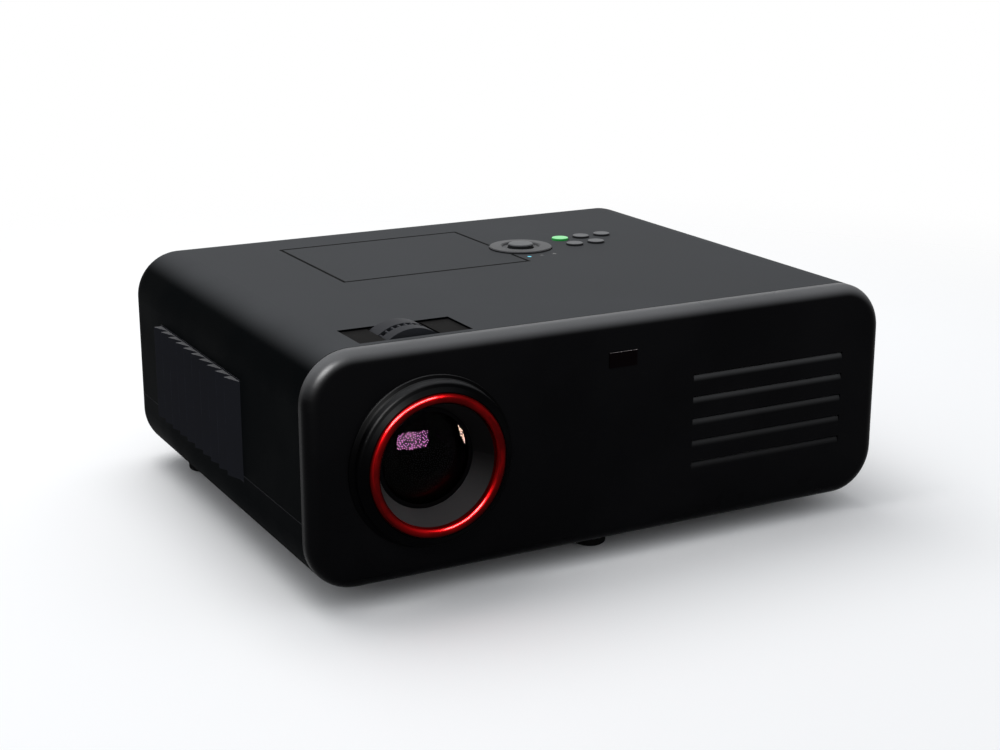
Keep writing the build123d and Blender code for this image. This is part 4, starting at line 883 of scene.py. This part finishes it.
@dataclass
class LidScrews:
    """The screws with washers that close the light box, seen once the service cover is off.

    Attributes:
        radius: a washer's radius.
        inset: from the lid's edge to a screw.
        rows: how many stand along each long edge.
        height: from the lid to a screw's top.
        washer: the thickness of a washer.
        bevel: the height of a washer's and of a head's bevel.
    """

    radius: float = 3.2 * MM
    inset: float = 5.0 * MM
    rows: int = 4
    height: float = 2.2 * MM
    washer: float = 0.6 * MM
    bevel: tuple[float, float] = (0.1 * MM, 0.6 * MM)

    def build(self, dresser: Dresser) -> None:
        """Builds two rows of screws on the lid."""
        low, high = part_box("light_box_lid")
        steel = dresser.material("bright_steel")
        head, face = 0.8 * self.radius, 0.6 * self.radius
        outline = [(0.0, 0.0), (self.radius, 0.0), (self.radius, self.washer)]
        outline += [(head, self.washer + self.bevel[0]), (head, self.height - self.bevel[1])]
        outline += [(face, self.height)]
        recess = Recess(0.42 * self.radius, 0.16 * self.radius, 0.9 * MM)
        for side, x in enumerate((low[0] + self.inset, high[0] - self.inset)):
            for row in range(self.rows):
                share = (row + 0.5) / self.rows
                form = Form()
                form.cross_cut(form.turned(outline), self.height, recess)
                place = (x, low[1] + share * (high[1] - low[1]), high[2])
                form.piece(f"lid_screw_{side * self.rows + row + 1}", place, Axis.UP, steel, "bright_steel")


@dataclass
class InletPins:
    """The bright pins of the mains inlet, over the CAD node's own.

    Attributes:
        pitch: from pin to pin.
        radius: a pin's radius.
        reach: how deep a pin's foot lies behind the rear face.
        end: how deep its rounded end lies.
        tip: where its end starts to narrow and where it is round, from the end.
        sides: corners in a ring.
    """

    pitch: float = 8.6 * MM
    radius: float = 1.25 * MM
    reach: float = 14.0 * MM
    end: float = 2.9 * MM
    tip: tuple[float, float] = (0.9 * MM, 0.3 * MM)
    sides: int = 32

    def build(self, dresser: Dresser) -> None:
        """Builds both pins."""
        low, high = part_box("power_inlet")
        middle = [(a + b) / 2 for a, b in zip(low, high)]
        steel = dresser.material("bright_steel")
        length = self.reach - self.end
        outline = [(0.0, 0.0), (self.radius, 0.0), (self.radius, length - self.tip[0])]
        outline += [(0.7 * self.radius, length - self.tip[1]), (0.0, length)]
        for number, side in enumerate((-1, 1)):
            form = Form()
            form.turned(outline, self.sides)
            place = (middle[0] + side * self.pitch / 2, high[1] - self.reach, middle[2])
            form.piece(f"inlet_pin_{number + 1}", place, Axis.BACK, steel, "bright_steel")


@dataclass(frozen=True)
class Reflex:
    """A lamp that only some pieces show, as a reflection.

    Attributes:
        name: the lamp's name.
        place: where it stands.
        aim: the point that it faces.
        width: its size across.
        height: its size up.
        power: its power in watts.
        pieces: the pieces that show it.
        colour: the colour that the coat gives its reflection.
        shape: the lamp's outline.
    """

    name: str
    place: tuple[float, float, float]
    aim: tuple[float, float, float]
    width: float
    height: float
    power: float
    pieces: tuple[str, ...]
    colour: Colour = WHITE
    shape: str = "RECTANGLE"


REFLEXES = (
    Reflex(
        "edge lamp", (-0.6, -0.65, 0.85), (-0.1, -0.1, 0.08), 0.6, 0.45, 345.0,
        ("front_bezel", "lens_collar", "accent_ring"),
    ),
    Reflex("ring lamp", (-0.02, -0.78, 0.9), (-0.1, -0.1, 0.08), 0.6, 0.4, 300.0, ("accent_ring",)),
    Reflex(
        "window in the lens", (-0.0508, -0.417, 0.069), (-0.108, -0.123, 0.077), 0.157, 0.079, 8.3,
        ("front_glass",), (1.0, 0.38, 0.78),
    ),
    Reflex(
        "lamp in the lens", (-0.0768, -0.1215, 0.077), (-0.0786, -0.1204, 0.0759), 0.006, 0.022, 0.136,
        ("front_glass",), (1.0, 0.6, 0.48), "ELLIPSE",
    ),
)


@dataclass
class Studio:
    """The pale floor, the white surround, the lamps and the camera.

    Attributes:
        eye: the camera's place, in metres.
        azimuth: the view's direction round the object, in degrees.
        elevation: the view's height above the horizon, in degrees.
        lens: the focal length in millimetres.
        sensor: the width of the sensor in millimetres.
        floor_radius: where the floor has faded into the surround.
        floor_plain: how much of that radius is without any fading.
        floor_tones: the darkest and the lightest tone of the floor.
        key_place: where the overhead lamp hangs.
        key_aim: the point that it faces.
        key_size: its width.
        key_power: its power in watts.
        fill: how strongly the surround lights the object.
        fill_colour: the colour of that light.
    """

    eye: tuple[float, float, float] = (-0.43325, -0.81702, 0.32630)
    azimuth: float = -28.13
    elevation: float = 15.99
    lens: float = 63.77
    sensor: float = 36.0
    floor_radius: float = 0.95
    floor_plain: float = 0.35
    floor_tones: tuple[Colour, Colour] = ((0.95, 0.95, 0.952), (0.97, 0.97, 0.971))
    key_place: tuple[float, float, float] = (-0.2, 0.4, 1.2)
    key_aim: tuple[float, float, float] = (0.0, 0.0, 0.05)
    key_size: float = 1.0
    key_power: float = 9.5
    fill: float = 0.66
    fill_colour: Colour = (0.95, 0.97, 1.0)

    def build(self, pieces: dict[str, bpy.types.Object]) -> None:
        """Builds all of it. Args: pieces: the part's pieces by name."""
        self.world()
        self.floor()
        self.lamps(pieces)
        self.camera()

    def background_rays(self, sheet: Sheet) -> bpy.types.NodeSocket:
        """1 for the rays that see the surround itself: camera, glossy and transmission."""
        path = sheet.add("ShaderNodeLightPath").outputs
        seen = sheet.math("MAXIMUM", path["Is Camera Ray"], path["Is Glossy Ray"])
        return sheet.math("MAXIMUM", seen, path["Is Transmission Ray"])

    def world(self) -> None:
        """A white surround that gives the object only a weak, even light."""
        world = bpy.data.worlds.new("surround")
        bpy.context.scene.world = world
        world.use_nodes = True
        sheet = Sheet(world.node_tree)
        shown = sheet.add("ShaderNodeBackground", Color=(*WHITE, OPAQUE), Strength=1.0)
        given = sheet.add("ShaderNodeBackground", Color=(*self.fill_colour, OPAQUE), Strength=self.fill)
        mix = sheet.add("ShaderNodeMixShader", Fac=self.background_rays(sheet))
        sheet.put(mix.inputs[1], given.outputs[0])
        sheet.put(mix.inputs[2], shown.outputs[0])
        sheet.add("ShaderNodeOutputWorld", Surface=mix.outputs[0])

    def floor(self) -> None:
        """A pale disc that fades into the surround at its rim, and is clear from below."""
        mesh = bpy.data.meshes.new("floor")
        form = bmesh.new()
        bmesh.ops.create_circle(form, cap_ends=True, radius=self.floor_radius, segments=96)
        form.to_mesh(mesh)
        form.free()
        floor = bpy.data.objects.new("floor", mesh)
        bpy.context.collection.objects.link(floor)
        material = bpy.data.materials.new("pale floor")
        material.use_nodes = True
        sheet = Sheet(material.node_tree)
        where = sheet.add("ShaderNodeTexCoord").outputs["Object"]
        reach = sheet.add("ShaderNodeVectorMath", {"operation": "LENGTH"})
        sheet.put(reach.inputs[0], where)
        plain = self.floor_plain * self.floor_radius
        faded = sheet.ramp(reach.outputs["Value"], plain, self.floor_radius)
        cloud = sheet.add("ShaderNodeTexNoise", Vector=where, Scale=3.0, Detail=2.0)
        tone = sheet.blend(cloud.outputs["Fac"], *self.floor_tones)
        skin = sheet.add(
            "ShaderNodeBsdfPrincipled", Base_Color=tone, Roughness=0.8, Specular_IOR_Level=0.0
        )
        clear = sheet.add("ShaderNodeBsdfTransparent")
        below = sheet.add("ShaderNodeNewGeometry").outputs["Backfacing"]
        mix = sheet.add("ShaderNodeMixShader", Fac=sheet.math("MAXIMUM", faded, below))
        sheet.put(mix.inputs[1], skin.outputs[0])
        sheet.put(mix.inputs[2], clear.outputs[0])
        sheet.add("ShaderNodeOutputMaterial", Surface=mix.outputs[0])
        mesh.materials.append(material)

    def lamps(self, pieces: dict[str, bpy.types.Object]) -> None:
        """The soft key above, and the lamps that some of the pieces show as reflections."""
        self.area("key lamp", self.key_place, self.key_aim, self.key_size, self.key_size, self.key_power)
        for reflex in REFLEXES:
            size = (reflex.width, reflex.height)
            lamp = self.area(reflex.name, reflex.place, reflex.aim, *size, reflex.power, reflex.colour)
            lamp.data.shape = reflex.shape
            self.limit(lamp, f"pieces of the {reflex.name}", [pieces[name] for name in reflex.pieces])

    def limit(self, lamp: bpy.types.Object, name: str, pieces: Iterable[bpy.types.Object]) -> None:
        """Lets a lamp show as a reflection alone, and on some pieces alone.

        Args:
            lamp: the lamp.
            name: the name of the new collection of those pieces.
            pieces: the pieces.
        """
        lamp.visible_diffuse = False
        shown = bpy.data.collections.new(name)
        for piece in pieces:
            shown.objects.link(piece)
        lamp.light_linking.receiver_collection = shown

    def area(
        self, name: str, place: Sequence[float], aim: Sequence[float], width: float, height: float,
        power: float, colour: Colour = WHITE,
    ) -> bpy.types.Object:
        """A rectangular lamp.

        Args:
            name: the lamp's name.
            place: where it hangs.
            aim: the point that it faces.
            width: its size across.
            height: its size up.
            power: its power in watts.
            colour: the colour of its light.

        Returns:
            The lamp.
        """
        data = bpy.data.lights.new(name, "AREA")
        data.shape = "RECTANGLE"
        data.size = width
        data.size_y = height
        data.energy = power
        data.color = colour
        lamp = bpy.data.objects.new(name, data)
        lamp.location = place
        facing = Vector(aim) - Vector(place)
        lamp.rotation_euler = facing.to_track_quat("-Z", "Y").to_euler()
        lamp.visible_camera = False
        bpy.context.collection.objects.link(lamp)
        return lamp

    def camera(self) -> None:
        """The camera, at the photograph's place and angle."""
        data = bpy.data.cameras.new("camera")
        data.lens = self.lens
        data.sensor_width = self.sensor
        camera = bpy.data.objects.new("camera", data)
        around, above = math.radians(self.azimuth), math.radians(self.elevation)
        back = Vector(
            (math.sin(around) * math.cos(above), -math.cos(around) * math.cos(above), math.sin(above))
        )
        camera.location = self.eye
        camera.rotation_euler = (-back).to_track_quat("-Z", "Y").to_euler()
        bpy.context.collection.objects.link(camera)
        bpy.context.scene.camera = camera
        bpy.context.scene.view_settings.view_transform = "Standard"


def corners(bounds: Iterable[Iterable[float]]) -> list[list[float]]:
    """The lowest and highest corner as plain lists."""
    return [[float(value) for value in corner] for corner in bounds]


def main() -> None:
    """Loads the frame and builds the sub-assemblies in order."""
    logging.basicConfig(level=logging.INFO, format="%(name)s: %(message)s")
    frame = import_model()
    dresser = Dresser(frame["nodes"], frame["record"])
    dresser.dress_nodes()
    for fitting in (CaseScrews(), StatusLights(), SeamShadeStrip(), LidScrews(), InletPins()):
        fitting.build(dresser)
    Studio().build({**frame["nodes"], "front_glass": FrontGlass().build(dresser)})


if __name__ == "__main__":
    main()
